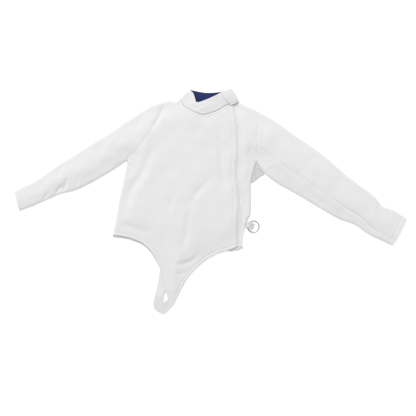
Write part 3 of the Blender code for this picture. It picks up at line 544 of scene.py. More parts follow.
def new_finish(name, **values):
    """A new material with its shader's values: itself, its tree, its shader, and a point's place on it."""
    finish = bpy.data.materials.new(name)
    finish.use_nodes = True
    tree = finish.node_tree
    shader = tree.nodes["Principled BSDF"]
    for key, value in values.items():
        shader.inputs[key.replace("_", " ")].default_value = value
    return finish, tree, shader, add(tree, "ShaderNodeTexCoord").outputs["Object"]


def noise(tree, place, scale, detail, roughness=0.5):
    sockets = {"Vector": place, "Scale": scale, "Detail": detail, "Roughness": roughness}
    return add(tree, "ShaderNodeTexNoise", sockets).outputs["Fac"]


def shade(tree, factor, first, second):
    """A colour between two."""
    colours = {"Factor": factor, 6: linear(first), 7: linear(second)}
    return add(tree, "ShaderNodeMix", colours, data_type="RGBA").outputs[2]


def raised(tree, height, strength, distance, **under):
    """Bumps, in mm, over the surface or over other bumps given as Normal."""
    sockets = {"Height": height, "Strength": strength, "Distance": distance * MM, **under}
    return add(tree, "ShaderNodeBump", sockets).outputs[0]


def cotton(name, light, dark, pitch, relief):
    """Woven cotton: twill lines at a pitch in mm, uneven thread, and the soft unevenness of handled cloth."""
    finish, tree, shader, place = new_finish(
        name, Roughness=0.86, Sheen_Weight=0.12, Sheen_Roughness=0.5, Specular_IOR_Level=0.3
    )
    turned = add(tree, "ShaderNodeMapping", {"Vector": place, "Rotation": (0, 0, TWILL_TURN)}).outputs[0]
    lines = add(tree, "ShaderNodeTexWave", {
        "Vector": turned, "Scale": math.tau / 20 / (pitch * MM), "Distortion": 1.2, "Detail": 2.0,
        "Detail Scale": 2.0,
    }).outputs["Fac"]
    patch = add(tree, "ShaderNodeMix", {
        "Factor": lines, 2: noise(tree, place, 700.0, 2.0), 3: noise(tree, place, 16.0, 4.0, 0.6),
    }, data_type="FLOAT")
    tone = add(tree, "ShaderNodeMapRange", {"Value": patch.outputs[0], "From Min": 0.3, "From Max": 0.7})
    soft = raised(tree, noise(tree, place, 58.0, 4.0, 0.62), 0.5, relief)
    tree.links.new(shade(tree, tone.outputs[0], dark, light), shader.inputs["Base Color"])
    tree.links.new(raised(tree, lines, 0.35, 0.12, Normal=soft), shader.inputs["Normal"])
    return finish


TWILL_TURN = math.radians(27)

# Bleached cotton drill: matt and a neutral white. Its twill lines are 0.6 mm apart in a real cloth of this
# weight and are drawn at 1.1 mm so that they show close up.
drill = cotton("bleached_cotton_drill", "#e8e8e8", "#e2e2e2", 1.1, 1.0)

EDGE_CURL = 1.9
CURL_REACH = 5.5
NECK_DRAW = 1.9
NECK_DRAW_REACH = 2.8
shoulder_right, shoulder_left = smooth(SHOULDER_RIGHT), smooth(SHOULDER_LEFT)
side_right, side_left = smooth(SIDE_RIGHT), smooth(SIDE_LEFT)
armhole_right, armhole_left = smooth(ARMHOLE_RIGHT), smooth(ARMHOLE_LEFT)


def drawn_edges(points):
    """The overlap's stitched edge curls down on the front under it, and the neck seam draws the cloth in."""
    curl = EDGE_CURL * bell(gap(points, OVERLAP_LINE), CURL_REACH)
    return -curl - NECK_DRAW * bell(gap(points, NECK_LINE), NECK_DRAW_REACH)


front_outline = joined(
    side_right, smooth(HEM_RIGHT), smooth(TAIL_RIGHT), smooth(TAIL_END), smooth(HEM_LEFT), OVERLAP_LINE,
    smooth(NECK_FRONT), shoulder_right[::-1], armhole_right,
)
plan, faces = plan_mesh(
    front_outline,
    rolled=[side_right, shoulder_right],
    grooves=TOPSTITCH + [beside(armhole_right, 1.4), beside(NECK_LINE, 1.5), beside(OVERLAP_LINE, 3)],
)
SEWN_LINES = []  # the stitched lines on finished surfaces, for the thread


def add_thread(lines, upper, change=None):
    """Lays the line of a row of stitches on the surface."""
    for line in lines:
        path = skin(line, upper, change)
        path[:, 2] += THREAD_RISE if upper else -THREAD_RISE
        SEWN_LINES.append(path)


add_thread(TOPSTITCH, True, drawn_edges)
front = cloth("main_front", skin(plan, True, drawn_edges), faces, drill, UP, free=[*HEMS, OVERLAP_LINE])
fit(front, "shell", "front")

# --- Narrow left front -------------------------------------------------------
# The strip between the overlap and the wearer's left side and armhole, in the same drill. Its inner edge
# runs 24 mm under the main front, where the zip is sewn to it, so it lies lower there and rises to the side
# seam.

OVERLAP = 24.0
OVERLAP_DROP = 4.6
OVERLAP_FLAT = 12.0
OVERLAP_FADE = 26.0


def under_overlap(points):
    edge_x = np.interp(points[:, 1], OVERLAP_LINE[:, 1], OVERLAP_LINE[:, 0])
    return -OVERLAP_DROP * (1 - ease((points[:, 0] - edge_x - OVERLAP_FLAT) / OVERLAP_FADE))


LEFT_HEM = [(82, -183), (106, -178), (127, -179)]
LEFT_TOP = [(64, 373)]  # its hidden top corner, under the overlap
left_hem = smooth(LEFT_HEM)
hidden_edge = OVERLAP_LINE[2:-2] - (OVERLAP, 0)
left_outline = joined(
    left_hem, side_left[::-1], armhole_left[::-1], shoulder_left[::-1], smooth(NECK_END),
    np.array(LEFT_TOP, float), hidden_edge[::-1],
)
left_stitch = [stitched(left_hem, HEM_STITCH, 2, 6)]
TOPSTITCH += left_stitch
plan, faces = plan_mesh(
    left_outline,
    rolled=[side_left[::-1], shoulder_left[::-1]],
    grooves=left_stitch + [beside(armhole_left, -1.4)],
)
add_thread(left_stitch, True, under_overlap)
front_left = cloth("left_front", skin(plan, True, under_overlap), faces, drill, UP, free=[left_hem])
fit(front_left, "shell", "front_left")

# --- Back --------------------------------------------------------------------
# One piece of the same drill, flat on what the jacket lies on, and curled up to the side and shoulder
# seams. Its hem shows below the front's, and its tail lies beside the front's tail.

NECK_BACK = [(-118, 400), (-60, 386), (0, 381), (60, 384), (112, 391)]
HEM_BACK_RIGHT = [
    (-381, -133), (-381, -141), (-317, -151), (-268, -170), (-240, -194), (-215, -229), (-197, -266),
]
TAIL_BACK_RIGHT = [(-197, -266), (-203, -306), (-211, -345), (-217, -371)]
TAIL_BACK_END = [(-217, -371), (-180, -374)]
TAIL_BACK_LEFT = [(-180, -374), (-174, -354), (-150, -318)]
HEM_BACK_LEFT = [
    (-150, -318), (-106, -282), (-50, -239), (10, -205), (50, -194),
    (84, -197), (108, -193), (127, -185), (127, -179),
]
back_hems = [smooth(line) for line in (HEM_BACK_RIGHT[1:], TAIL_BACK_RIGHT, TAIL_BACK_LEFT, HEM_BACK_LEFT)]
back_stitch = [
    stitched(back_hems[0], HEM_STITCH, 8, 2),
    stitched(back_hems[3], HEM_STITCH, 4, 14),
    stitched(armhole_right, 5, 3, 3),
    stitched(armhole_left, -5, 3, 3),
    stitched(smooth(NECK_BACK), -6, 8, 8),
]
UNDER_LINES += back_stitch
back_outline = joined(
    side_right, *back_hems[:2], smooth(TAIL_BACK_END), *back_hems[2:], side_left[::-1], armhole_left[::-1],
    shoulder_left[::-1], smooth(NECK_BACK)[::-1], shoulder_right[::-1], armhole_right,
)
plan, faces = plan_mesh(
    back_outline,
    rolled=[side_right, shoulder_right, side_left[::-1], shoulder_left[::-1]],
    grooves=back_stitch,
    step=7.0,
)
add_thread(back_stitch, False)
back = cloth("back_panel", skin(plan, False), faces, drill, DOWN, free=back_hems)
fit(back, "shell", "back")

# --- Sleeves -----------------------------------------------------------------
# Two-piece sleeves in the same drill, each a flattened tube open at the cuff. The top piece folds round the
# upper edge, and the under piece closes the tube. Each is sewn into its armhole, and its cuff is turned in
# and stitched.

SLEEVE_BACK_SEAM = 0.6
BOW_ROWS = 3.0
CUFF_STITCH = 16.0
EDGE_SPACING = (0.0, 0.9, 2.0, 3.6, 5.8, 8.6, 12.0)
SEAM_SPACING = (0.02, 1.6, 3.4)
SLEEVE_STEP = 4.2
SLEEVE_EVEN = (8, 22)  # the even rows start this far from the armhole and end this far from the cuff
SLEEVE_START = (0.02, 1.5, 3.0, 5.0)  # rows beside the armhole
SLEEVE_END = (10, 7, 4.5, 2.2, 0.8, 0)  # rows beside the cuff


def at_row(knots, place):
    """A smooth curve through a table's rows, at a row number that may lie between two."""
    k = int(min(place, len(knots) - 2))
    before = knots[k - 1] if k else 2 * knots[0] - knots[1]
    after = knots[k + 2] if k + 2 < len(knots) else 2 * knots[-1] - knots[-2]
    return spline(before, knots[k], knots[k + 1], after, place - k)


def at_share(points, shares):
    """Points at shares of a smooth curve's length."""
    fine = smooth(points, count=300)
    marks = np.linspace(0, 1, len(fine))
    return np.column_stack([np.interp(shares, marks, fine[:, k]) for k in range(2)])


def section(table, armhole, place, shares):
    """Plan points across a sleeve at a row number: straight, but curved as the armhole close to it."""
    rows = np.array(table, float)
    upper, lower = at_row(rows[:, 0:2], place), at_row(rows[:, 2:4], place)
    shares = np.asarray(shares, float)
    chord = np.array(armhole[-1]) + shares[:, None] * (np.array(armhole[0]) - np.array(armhole[-1]))
    fade = max(0.0, 1 - place / BOW_ROWS)
    return lower + shares[:, None] * (upper - lower) + (at_share(armhole, 1 - shares) - chord) * fade


def spaced(start, end, width, count):
    """Shares of a width from start to end, close together at a fold and beside a seam."""
    first = [start + reach / width for reach in (SEAM_SPACING if start else EDGE_SPACING)]
    last = [1 - end + reach / width for reach in (EDGE_SPACING if end == 1 else SEAM_SPACING)]
    last = [1 - share for share in reversed(last)]
    middle = [first[-1] + (last[0] - first[-1]) * k / count for k in range(1, count)]
    return first + middle + last


def grid_faces(rows, columns, closed=False):
    """Triangles between rows of points, open or closed round each row."""
    grid = np.arange(rows * columns).reshape(rows, columns)
    if closed:
        grid = np.column_stack([grid, grid[:, 0]])
    a, b, c, d = grid[:-1, :-1].ravel(), grid[:-1, 1:].ravel(), grid[1:, 1:].ravel(), grid[1:, :-1].ravel()
    return np.vstack([np.column_stack([a, b, c]), np.column_stack([a, c, d])])


def sleeve(name, table, armhole, stretches, outward):
    """A sleeve piece. stretches(seam, width) gives (upper or not, shares) in order round the tube."""
    rows = np.array(table, float)
    run = lengths_along((rows[:, 0:2] + rows[:, 2:4]) / 2)
    length = run[-1]
    marks = np.concatenate([
        SLEEVE_START,
        np.linspace(SLEEVE_EVEN[0], length - SLEEVE_EVEN[1], int(length / SLEEVE_STEP)),
        length - np.array([CUFF_STITCH - offset for offset in GROOVE_OFFSETS]),
        length - np.array(SLEEVE_END),
    ])
    places = np.interp(np.sort(marks), run, np.arange(len(rows)))
    plans, layers = [], []
    for place in places:
        seam = float(np.interp(place, np.arange(len(rows)), rows[:, 4]))
        ends = section(table, armhole, place, [0, 1])
        width = np.linalg.norm(ends[1] - ends[0])
        for upper, shares in stretches(seam, width):
            plans.append(section(table, armhole, place, shares))
            layers += [upper] * len(shares)
    plan, layers = np.vstack(plans), np.array(layers)
    surface = np.zeros((len(plan), 3))
    for upper in (True, False):
        if np.any(layers == upper):
            surface[layers == upper] = skin(plan[layers == upper], upper)
    faces = grid_faces(len(places), len(plan) // len(places))
    cuff = section(table, armhole, len(rows) - 1, [0, 0.5, 1])
    return cloth(name, surface, faces, drill, outward, free=[cuff])


def side_line(table, armhole, share=None):
    """A line along a sleeve, at its front seam or at another share of its width."""
    rows = np.array(table, float)
    line = []
    for place in np.linspace(0, len(rows) - 1, 160):
        at = np.interp(place, np.arange(len(rows)), rows[:, 4]) if share is None else share
        line.append(section(table, armhole, place, [at])[0])
    return np.array(line)


def cuff_line(table, armhole):
    """The stitches round a cuff, on the plan."""
    rows = np.array(table, float)
    back = CUFF_STITCH / np.linalg.norm((rows[-1, 0:2] + rows[-1, 2:4] - rows[-2, 0:2] - rows[-2, 2:4]) / 2)
    return section(table, armhole, len(rows) - 1 - back, np.linspace(0.04, 0.96, 24))


LEFT = (SLEEVE_LEFT, ARMHOLE_LEFT)
RIGHT = (SLEEVE_RIGHT, ARMHOLE_RIGHT)
seam_left = side_line(*LEFT)
SEAMS.append(seam_left)
cuff_stitch = [cuff_line(*LEFT), cuff_line(*RIGHT)]
sleeve_stitch = [stitched(seam_left, 4, 4, 3), *cuff_stitch]
TOPSTITCH += sleeve_stitch
sleeve_under_stitch = [
    stitched(side_line(*LEFT, SLEEVE_BACK_SEAM), 4, 4, 3),
    stitched(side_line(*RIGHT, SLEEVE_BACK_SEAM), -4, 4, 3),
    stitched(side_line(*RIGHT), 4, 4, 3),
    *cuff_stitch,
]
UNDER_LINES += sleeve_under_stitch
add_thread(sleeve_stitch, True)
add_thread(sleeve_under_stitch, False)

right_top = sleeve("right_sleeve_top", *RIGHT, lambda seam, width: [
    (False, spaced(0, seam, width, 3)[::-1]),
    (True, spaced(0, 1, width, 38)[1:]),
    (False, spaced(SLEEVE_BACK_SEAM, 1, width, 8)[::-1][1:]),
], UP)
right_under = sleeve("right_sleeve_under", *RIGHT, lambda seam, width: [
    (False, spaced(seam, SLEEVE_BACK_SEAM, width, 10)[::-1]),
], DOWN)
left_top = sleeve("left_sleeve_top", *LEFT, lambda seam, width: [
    (True, spaced(seam, 1, width, 28)),
    (False, spaced(SLEEVE_BACK_SEAM, 1, width, 8)[::-1][1:]),
], UP)
left_under = sleeve("left_sleeve_under", *LEFT, lambda seam, width: [
    (False, spaced(0, SLEEVE_BACK_SEAM, width, 14)[::-1]),
    (True, spaced(0, seam, width, 10)[1:]),
], DOWN)
for piece, nodes, flat, area in (
    (right_top, ["sleeve_right_top"], (0.43, 0.66), 0.1195),
    (right_under, ["sleeve_right_under"], (0.11, 0.60), 0.0275),
    (left_top, ["sleeve_left_top"], (0.23, 0.68), 0.127),
    (left_under, ["sleeve_left_under", "sleeve_left_front"], (0.20, 0.66), 0.0984),
):
    fit(piece, "shell", *nodes)

# --- Zip ---------------------------------------------------------------------
# A closed zip between the overlap and the left front: a flat strip of woven polyester tape with its moulded
# coil along the middle. The overlap covers it.

ZIP_WIDTH = 20.0
ZIP_WALL = 0.9
ZIP_DEPTH = 3.4  # below the main front's face
COIL_PITCH = 2.2
COIL_WIDTH = 4.6
COIL_HEIGHT = 0.9


def geometry_tree(name, numbers):
    """A geometry tree with a Geometry in and out, a Finish, and named numbers."""
    tree = bpy.data.node_groups.new(name, "GeometryNodeTree")
    tree.interface.new_socket("Geometry", in_out="OUTPUT", socket_type="NodeSocketGeometry")
    tree.interface.new_socket("Geometry", in_out="INPUT", socket_type="NodeSocketGeometry")
    tree.interface.new_socket("Finish", in_out="INPUT", socket_type="NodeSocketMaterial")
    for label in numbers:
        tree.interface.new_socket(label, in_out="INPUT", socket_type="NodeSocketFloat")
    return tree


def close_tree(tree, shape, finish):
    """Ends a tree: its instances made real, with their material."""
    real = add(tree, "GeometryNodeRealizeInstances", {"Geometry": shape}).outputs[0]
    done = add(tree, "GeometryNodeSetMaterial", {"Geometry": real, "Material": finish}).outputs[0]
    add(tree, "NodeGroupOutput", {"Geometry": done})


def grown(name, tree, finish, values, source):
    """The plain mesh that a geometry tree makes from a source mesh."""
    holder = bpy.data.objects.new(name, source)
    bpy.context.scene.collection.objects.link(holder)
    modifier = holder.modifiers.new("build", "NODES")
    modifier.node_group = tree
    for item in tree.interface.items_tree:
        if item.in_out == "INPUT" and item.name == "Finish":
            modifier[item.identifier] = finish
        if item.in_out == "INPUT" and item.name in values:
            modifier[item.identifier] = float(values[item.name])
    made = bpy.data.meshes.new_from_object(holder.evaluated_get(bpy.context.evaluated_depsgraph_get()))
    holder.modifiers.remove(modifier)
    holder.data = made
    made.shade_smooth()
    return holder


def path_mesh(lines):
    """A mesh of bare edges along lines of points."""
    edges, points = [], []
    for line in lines:
        first = len(points)
        points += (line * MM).tolist()
        edges += [(first + k, first + k + 1) for k in range(len(line) - 1)]
    mesh = bpy.data.meshes.new("paths")
    mesh.from_pydata(points, edges, [])
    return mesh


# Small rounded pieces in a row along a path, such as stitches: their spacing, size, and unevenness
row_tree = geometry_tree("rounded_pieces_in_a_row", ["Pitch", "Along", "Across", "Height", "Uneven"])
row_in = add(row_tree, "NodeGroupInput").outputs
spots = add(row_tree, "GeometryNodeCurveToPoints", {
    "Curve": add(row_tree, "GeometryNodeMeshToCurve", {"Mesh": row_in["Geometry"]}).outputs[0],
    "Length": row_in["Pitch"],
}, mode="LENGTH").outputs
turn = add(row_tree, "FunctionNodeAlignRotationToVector", {"Vector": spots["Tangent"]}, axis="X").outputs[0]
bead = add(row_tree, "GeometryNodeMeshUVSphere", {"Segments": 6, "Rings": 4, "Radius": 0.5}).outputs["Mesh"]
bead_size = add(
    row_tree, "ShaderNodeCombineXYZ", {"X": row_in["Along"], "Y": row_in["Across"], "Z": row_in["Height"]}
).outputs[0]
smallest, largest = [
    add(row_tree, "ShaderNodeMath", {0: 1.0, 1: row_in["Uneven"]}, operation=way).outputs[0]
    for way in ("SUBTRACT", "ADD")
]
scatter = add(
    row_tree, "FunctionNodeRandomValue", {"Min": smallest, "Max": largest, "Seed": 7}, data_type="FLOAT"
).outputs["Value"]
uneven = add(row_tree, "ShaderNodeVectorMath", {0: bead_size, "Scale": scatter}, operation="SCALE").outputs[0]
pieces = add(row_tree, "GeometryNodeInstanceOnPoints", {
    "Points": spots["Points"], "Instance": bead, "Rotation": turn, "Scale": uneven,
}).outputs[0]
close_tree(row_tree, pieces, row_in["Finish"])

# Woven polyester tape: smoother and a little greyer than the cotton, with its cross ribs drawn at 1.6 mm
tape_cloth = cotton("woven_polyester_tape", "#e0e1e4", "#d2d4d8", 1.6, 0.2)
# Moulded nylon coil, with the soft gloss of a plain moulded plastic
coil_nylon, tree, nylon_shader, place = new_finish("moulded_nylon_coil")
handled = noise(tree, place, 90.0, 3.0)
rub = add(tree, "ShaderNodeMapRange", {"Value": handled, "To Min": 0.35, "To Max": 0.5}).outputs[0]
tree.links.new(shade(tree, handled, "#d8dadd", "#e2e3e5"), nylon_shader.inputs["Base Color"])
tree.links.new(rub, nylon_shader.inputs["Roughness"])

zip_line = OVERLAP_LINE[3:-3] - (OVERLAP / 2, 0)
across_zip = np.linspace(-ZIP_WIDTH / 2, ZIP_WIDTH / 2, 9)
zip_surface = np.vstack([skin(zip_line + (side, 0), True) for side in across_zip])
zip_surface[:, 2] -= ZIP_DEPTH
faces = grid_faces(len(across_zip), len(zip_line))
zip_tape = cloth("zip_tape", zip_surface, faces, tape_cloth, UP, wall=ZIP_WALL)
coil_line = skin(zip_line, True) - (0, 0, ZIP_DEPTH)
coil = grown("zip_coil", row_tree, coil_nylon, {
    "Pitch": COIL_PITCH * MM, "Along": 0.8 * COIL_PITCH * MM, "Across": COIL_WIDTH * MM,
    "Height": COIL_HEIGHT * MM, "Uneven": 0.0,
}, path_mesh([coil_line]))
fit(zip_tape, "zip_tape", "zip")
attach(coil, "jacket")

# --- Underarm gusset ---------------------------------------------------------
# A small gusset of softer twill, sewn between the side seam and the sleeve under the wearer's left arm. It is
# folded in two along its outer edge, and it puckers because its cloth is cut wider than the gap.

GUSSET_FOLD = [(162.5, 69.5), (178, 82), (196, 96), (211.5, 104)]
GUSSET_SIDE_Y = 71.0
GUSSET_SLEEVE_X = 210.0
GUSSET_TOP_Y = 147.0
GUSSET_WALL = 1.5
GUSSET_TOP = 4.2
GUSSET_ROWS = 44
GUSSET_COLUMNS = 18
GUSSET_BEND = 7  # columns round its fold
GUSSET_BACK = 5  # columns on its under side
PUCKER_HEIGHT = 1.15
PUCKER_TURN = 0.85  # radians of the puckers' wave from one row to the next
PUCKER_SLANT = 0.1  # and in each millimetre away from the fold
RUMPLE_HEIGHT = 0.35
RUMPLE_TURN = 0.47
RUMPLE_SLANT = 0.5
PUCKER_FADE = 7.0

# Washed cotton twill, softer and looser than the drill. Its greyer colour is painted shade, for the low
# hollow it lies in between the side and the sleeve
gusset_twill_painted_shade = cotton("gusset_twill_with_painted_shade", "#dfdfdf", "#c6c6c6", 1.5, 1.9)

side_edge, sleeve_edge_line = ROLLED[4], ROLLED[3]
seam_points = []
for line, wanted in (
    (side_edge, side_edge[:, 1] > GUSSET_SIDE_Y),
    (sleeve_edge_line, sleeve_edge_line[:, 0] < GUSSET_SLEEVE_X),
):
    _, inward, _, _ = nearest(line, line)
    seam_points.append((line - inward * SEAM_GAP * 1.5)[wanted & (line[:, 1] < GUSSET_TOP_Y)])
seam_points = [tuple(p) for p in np.vstack(seam_points)]
shares = np.linspace(0, 1, GUSSET_ROWS)
rows = []
for number, (seam, fold) in enumerate(zip(at_share(seam_points, shares), at_share(GUSSET_FOLD, shares))):
    reach = np.linalg.norm(fold - seam)
    way = (seam - fold) / reach
    middle = GUSSET_TOP / 2
    bend = min(middle, reach * 0.6)
    top = np.linspace(reach, bend, GUSSET_COLUMNS)[:-1]
    along = np.concatenate([top, [bend] * GUSSET_BEND, np.linspace(bend, reach, GUSSET_BACK)[1:]])
    turn = np.radians(np.concatenate([
        np.full(len(top), 90.0), np.linspace(90, 270, GUSSET_BEND), np.full(GUSSET_BACK - 1, 270.0),
    ]))
    along = along + bend * np.cos(turn)
    height = middle * (1 + np.sin(turn))
    loose = np.clip(np.minimum(along, reach - along) / PUCKER_FADE, 0, 1) * (np.sin(turn) > 0)
    pucker = np.sin(number * PUCKER_TURN + PUCKER_SLANT * along + 0.8 * np.sin(along * 0.13))
    pucker = pucker * (0.6 + 0.4 * np.sin(number * 0.3 + along * 0.2))
    rumple = np.sin(number * RUMPLE_TURN + along * RUMPLE_SLANT + 2)
    height = height + loose * (PUCKER_HEIGHT * pucker + RUMPLE_HEIGHT * rumple)
    rows.append(np.column_stack([fold + way * along[:, None], height]))
faces = grid_faces(len(rows), len(rows[0]))
# The gusset's cloth carries painted shade: it is coloured greyer than the drill round it
gusset = cloth("armpit_gusset", np.vstack(rows), faces, gusset_twill_painted_shade, UP, wall=GUSSET_WALL)
for corner in gusset.data.vertices:
    corner.co.z = max(corner.co.z, 0)  # where its two ends taper to a point
fit(gusset, "shell", "underarm_gusset")

# --- Collar ------------------------------------------------------------------
# A stand-up collar of drill with a stiff interlining, sewn to the neck and open at the top. It lies
# flattened with its back on the surface, and its front edge dips in a V. Its ends meet over the top of the
# overlap, under the tab.

COLLAR_WALL = 3.0
FLAT_TUBE = (0.2, 0.2, 4)  # weights of x, y and z in which way is out of a flattened tube
COLLAR_TOP_FRONT = [
    (-82, 435), (-67, 419), (-60, 400), (-52, 383), (-16, 393), (18, 408), (50, 425), (83, 441),
]
COLLAR_TOP_BACK = [(-82, 435), (-44, 427), (-16, 423), (21, 424), (51, 429), (83, 441)]
COLLAR_NECK_WIDTH = 230.0
COLLAR_TOP_WIDTH = 165.0
COLLAR_START = 0.007
COLLAR_NECK = NECK_FRONT[::-1] + NECK_END[::-1][1:]
COLLAR_HEIGHTS = [
    COLLAR_START, 0.025, 0.05, 0.08, *np.linspace(0.12, 0.84, 15), 0.87, 0.9, 0.93, 0.955, 0.98, 1.0,
]
COLLAR_GROOVE = (1.7, 0.5, 0.12)
NECK_PULL = 1.0
NECK_PULL_REACH = 1.6
COLLAR_STITCH = 0.9  # share of its height at which the top edge is stitched
COLLAR_CREASES = [
    (4.0, 1.7, 0.8, [(-74, 372), (-60, 366), (-42, 368), (-26, 374)]),
    (3.6, 1.5, 0.8, [(-70, 364), (-56, 359), (-40, 360)]),
    (3.6, 1.3, 0.6, [(-66, 378), (-56, 374), (-40, 378)]),
    (9.0, 1.2, 0.3, [(18, 392), (26, 384), (30, 374)]),
    (12.0, 1.2, 0.3, [(-98, 414), (-86, 398), (-78, 382)]),
    (7.0, 0.8, 0.3, [(44, 404), (52, 394), (56, 384)]),
]
FOLDS += COLLAR_CREASES


def collar_plan(upper, shares, height):
    """Plan points across the collar on one layer, at a share of its height above the neck seam."""
    low, high = (COLLAR_NECK, COLLAR_TOP_FRONT) if upper else (NECK_BACK, COLLAR_TOP_BACK)
    shares = np.asarray(shares, float)
    points = at_share(low, shares) * (1 - height) + at_share(high, shares) * height
    for side, weight in ((COLLAR_SIDE_RIGHT, (1 - shares) ** 6), (COLLAR_SIDE_LEFT, shares**6)):
        points = points + weight[:, None] * bow(side, height)
    return points


neck_curve = smooth(COLLAR_NECK, count=400)
collar_slit = float(np.argmin(np.linalg.norm(neck_curve - NECK_FRONT[0], axis=1))) / 400


def collar_row(height):
    """One row round the collar, from its slit round the back to the slit again: (upper or not, shares)."""
    width = COLLAR_NECK_WIDTH + (COLLAR_TOP_WIDTH - COLLAR_NECK_WIDTH) * height
    slit = SEAM_GAP / width
    start = spaced(0, 1, width, 50)
    first = [collar_slit + slit, *np.linspace(collar_slit + 0.02, 0.93, 4)]
    first += [1 - reach / width for reach in reversed(EDGE_SPACING[:6])]
    last = [reach / width for reach in EDGE_SPACING] + list(np.linspace(14 / width, collar_slit, 48)[1:])
    return [(True, first), (False, start[::-1][1:]), (True, last[1:])]


def collar_sewing(points):
    """The neck seam draws the collar down, and so do the stitches below its top edge."""
    groove = sewn(points, [collar_stitch], *COLLAR_GROOVE)
    pull = NECK_PULL * bell(gap(points, NECK_LINE), NECK_PULL_REACH)
    return -groove - pull * (points[:, 1] < NECK_FRONT[-1][1])


collar_stitch = collar_plan(True, np.linspace(0.03, 0.97, 50), COLLAR_STITCH)
collar_rows = []
for height in COLLAR_HEIGHTS:
    for upper, shares in collar_row(height):
        collar_rows.append(skin(collar_plan(upper, shares, height), upper, collar_sewing))
surface = np.vstack(collar_rows)
surface[:, 2] = np.maximum(surface[:, 2], 0)
columns = len(surface) // len(COLLAR_HEIGHTS)
top_edges = [collar_plan(upper, np.linspace(0, 1, 60), 1.0) for upper in (True, False)]
middle = surface.mean(axis=0)
add_thread([collar_stitch[2:-2]], True, collar_sewing)
collar = cloth(
    "standing_collar", surface, grid_faces(len(COLLAR_HEIGHTS), columns), drill,
    (surface - middle) * FLAT_TUBE, wall=COLLAR_WALL, free=top_edges,
)
fit(collar, "shell", "collar")

# --- Collar lining -----------------------------------------------------------
# Soft navy lining inside the collar, sewn in round the neck and turned in at the top. Its brushed face
# scatters light, so it looks a little paler where it turns away.

LINING_CLEAR = 0.35
LINING_WALL = 1.0
LINING_IN = 7.5
LINING_HEIGHTS = np.linspace(0.05, 0.97, 22)
LINING_THIN = 0.6  # least distance between its two layers at the ends
LINING_ROUND = 0.8  # reach of its rounded ends

navy, tree, navy_shader, place = new_finish(
    "brushed_navy_lining", Roughness=0.9, Sheen_Weight=0.25, Specular_IOR_Level=0.25
)
nap = noise(tree, place, 420.0, 3.0, 0.7)
patch = add(
    tree, "ShaderNodeMix", {"Factor": 0.4, 2: nap, 3: noise(tree, place, 60.0, 3.0)}, data_type="FLOAT"
).outputs[0]
tone = add(tree, "ShaderNodeMapRange", {"Value": patch, "From Min": 0.35, "From Max": 0.65}).outputs[0]
tree.links.new(shade(tree, tone, "#1f2b58", "#28376b"), navy_shader.inputs["Base Color"])
tree.links.new(raised(tree, nap, 0.5, 0.3), navy_shader.inputs["Normal"])

lining_rows = []
for height in LINING_HEIGHTS:
    width = COLLAR_NECK_WIDTH + (COLLAR_TOP_WIDTH - COLLAR_NECK_WIDTH) * height
    end = LINING_IN / width
    top = skin(collar_plan(True, np.linspace(0.99 - end, 0.01 + end, 40), height), True)
    top[:, 2] -= COLLAR_WALL + LINING_CLEAR
    low = collar_plan(False, np.linspace(end, 1 - end, 40), height)
    low = np.column_stack([low, np.full(len(low), COLLAR_WALL + LINING_CLEAR)])
    tall = np.maximum(top[[-1, 0], 2] - low[[0, -1], 2], LINING_THIN)
    sides = []
    for at, rise, way in ((low[0], tall[0], -1), (low[-1], tall[1], 1)):
        turn = np.radians([30, 60, 90, 120, 150])
        out = np.sin(turn)[:, None] * np.array([way * LINING_ROUND, 0, 0])
        sides.append(at + out + np.column_stack([np.zeros((5, 2)), rise * (1 - np.cos(turn)) / 2]))
    lining_rows.append(np.vstack([top, sides[0][::-1], low, sides[1]]))
lining_surface = np.vstack(lining_rows)
inward = lining_surface.mean(axis=0) - lining_surface
lining_faces = grid_faces(len(lining_rows), len(lining_rows[0]), closed=True)
lining = cloth(
    "navy_collar_lining", lining_surface, lining_faces, navy, inward * FLAT_TUBE, wall=LINING_WALL
)
fit(lining, "lining", "collar_lining")

# --- Collar tab --------------------------------------------------------------
# A short tab of drill sewn to the collar's end. It closes the collar over the top of the overlap, stitched
# all round, and its lower edge stands free.

TAB_EDGES = [(109, 387), (84, 375), (69, 384), (49, 414), (60, 429), (79, 438)]
TAB_CLEAR = 1.2
TAB_GROOVE = (1.5, 0.5, 0.15)
TAB_STAND = 0.15  # share of the collar's rise that the tab keeps where it passes the neck seam


def keep_collar_height(points):
    """The tab stands off the front where it passes the neck seam, and its stitches press it down."""
    rise = TAB_STAND * (COLLAR_RISE - neck_rise(points)) + CLOTH_WALL + TAB_CLEAR
    return rise - sewn(points, tab_stitch, *TAB_GROOVE)


tab_outline = np.vstack([collar_side(COLLAR_SIDE_LEFT)[1::2], smooth(TAB_EDGES[::-1])])
tab_side = inset(tab_outline, 3.5)
tab_stitch = [np.vstack([tab_side, tab_side[:1]])]
tab_roll = [collar_side(COLLAR_SIDE_LEFT)]
plan, faces = plan_mesh(tab_outline, rolled=tab_roll, grooves=tab_stitch, step=3.0)
closed_tab = np.vstack([tab_outline, tab_outline[:1]])
add_thread(tab_stitch, True, keep_collar_height)
tab = cloth("closing_tab", skin(plan, True, keep_collar_height), faces, drill, UP, free=[closed_tab])
fit(tab, "shell", "collar_tab")

# --- Crotch elastic ----------------------------------------------------------
# A strap of white ribbed elastic between the legs. It is sewn to the end of the back tail and comes round
# to the front tail, so it lies in a U, with its inner side bunched and its outer side pulled straight.

ELASTIC_WALL = 2.2
ELASTIC_RIB = 5.2  # between ribs, drawn coarser than the 2 mm of a real woven elastic
ELASTIC_RIBS = round(40 / ELASTIC_RIB)
RIB_HEIGHT = 0.45
ELASTIC_ROWS = 120
ELASTIC_COLUMNS = 66
BUNCH_HEIGHT = 1.7
INNER_LIFT = 0.3
CREASE_HEIGHT = 0.6
CREASE_AT = 3.4  # the row of the list below at which its one crease leaves the outer side
CREASE_SLANT = 1.6  # rows further on at which the crease meets the inner side
CREASE_WIDTH = 0.32
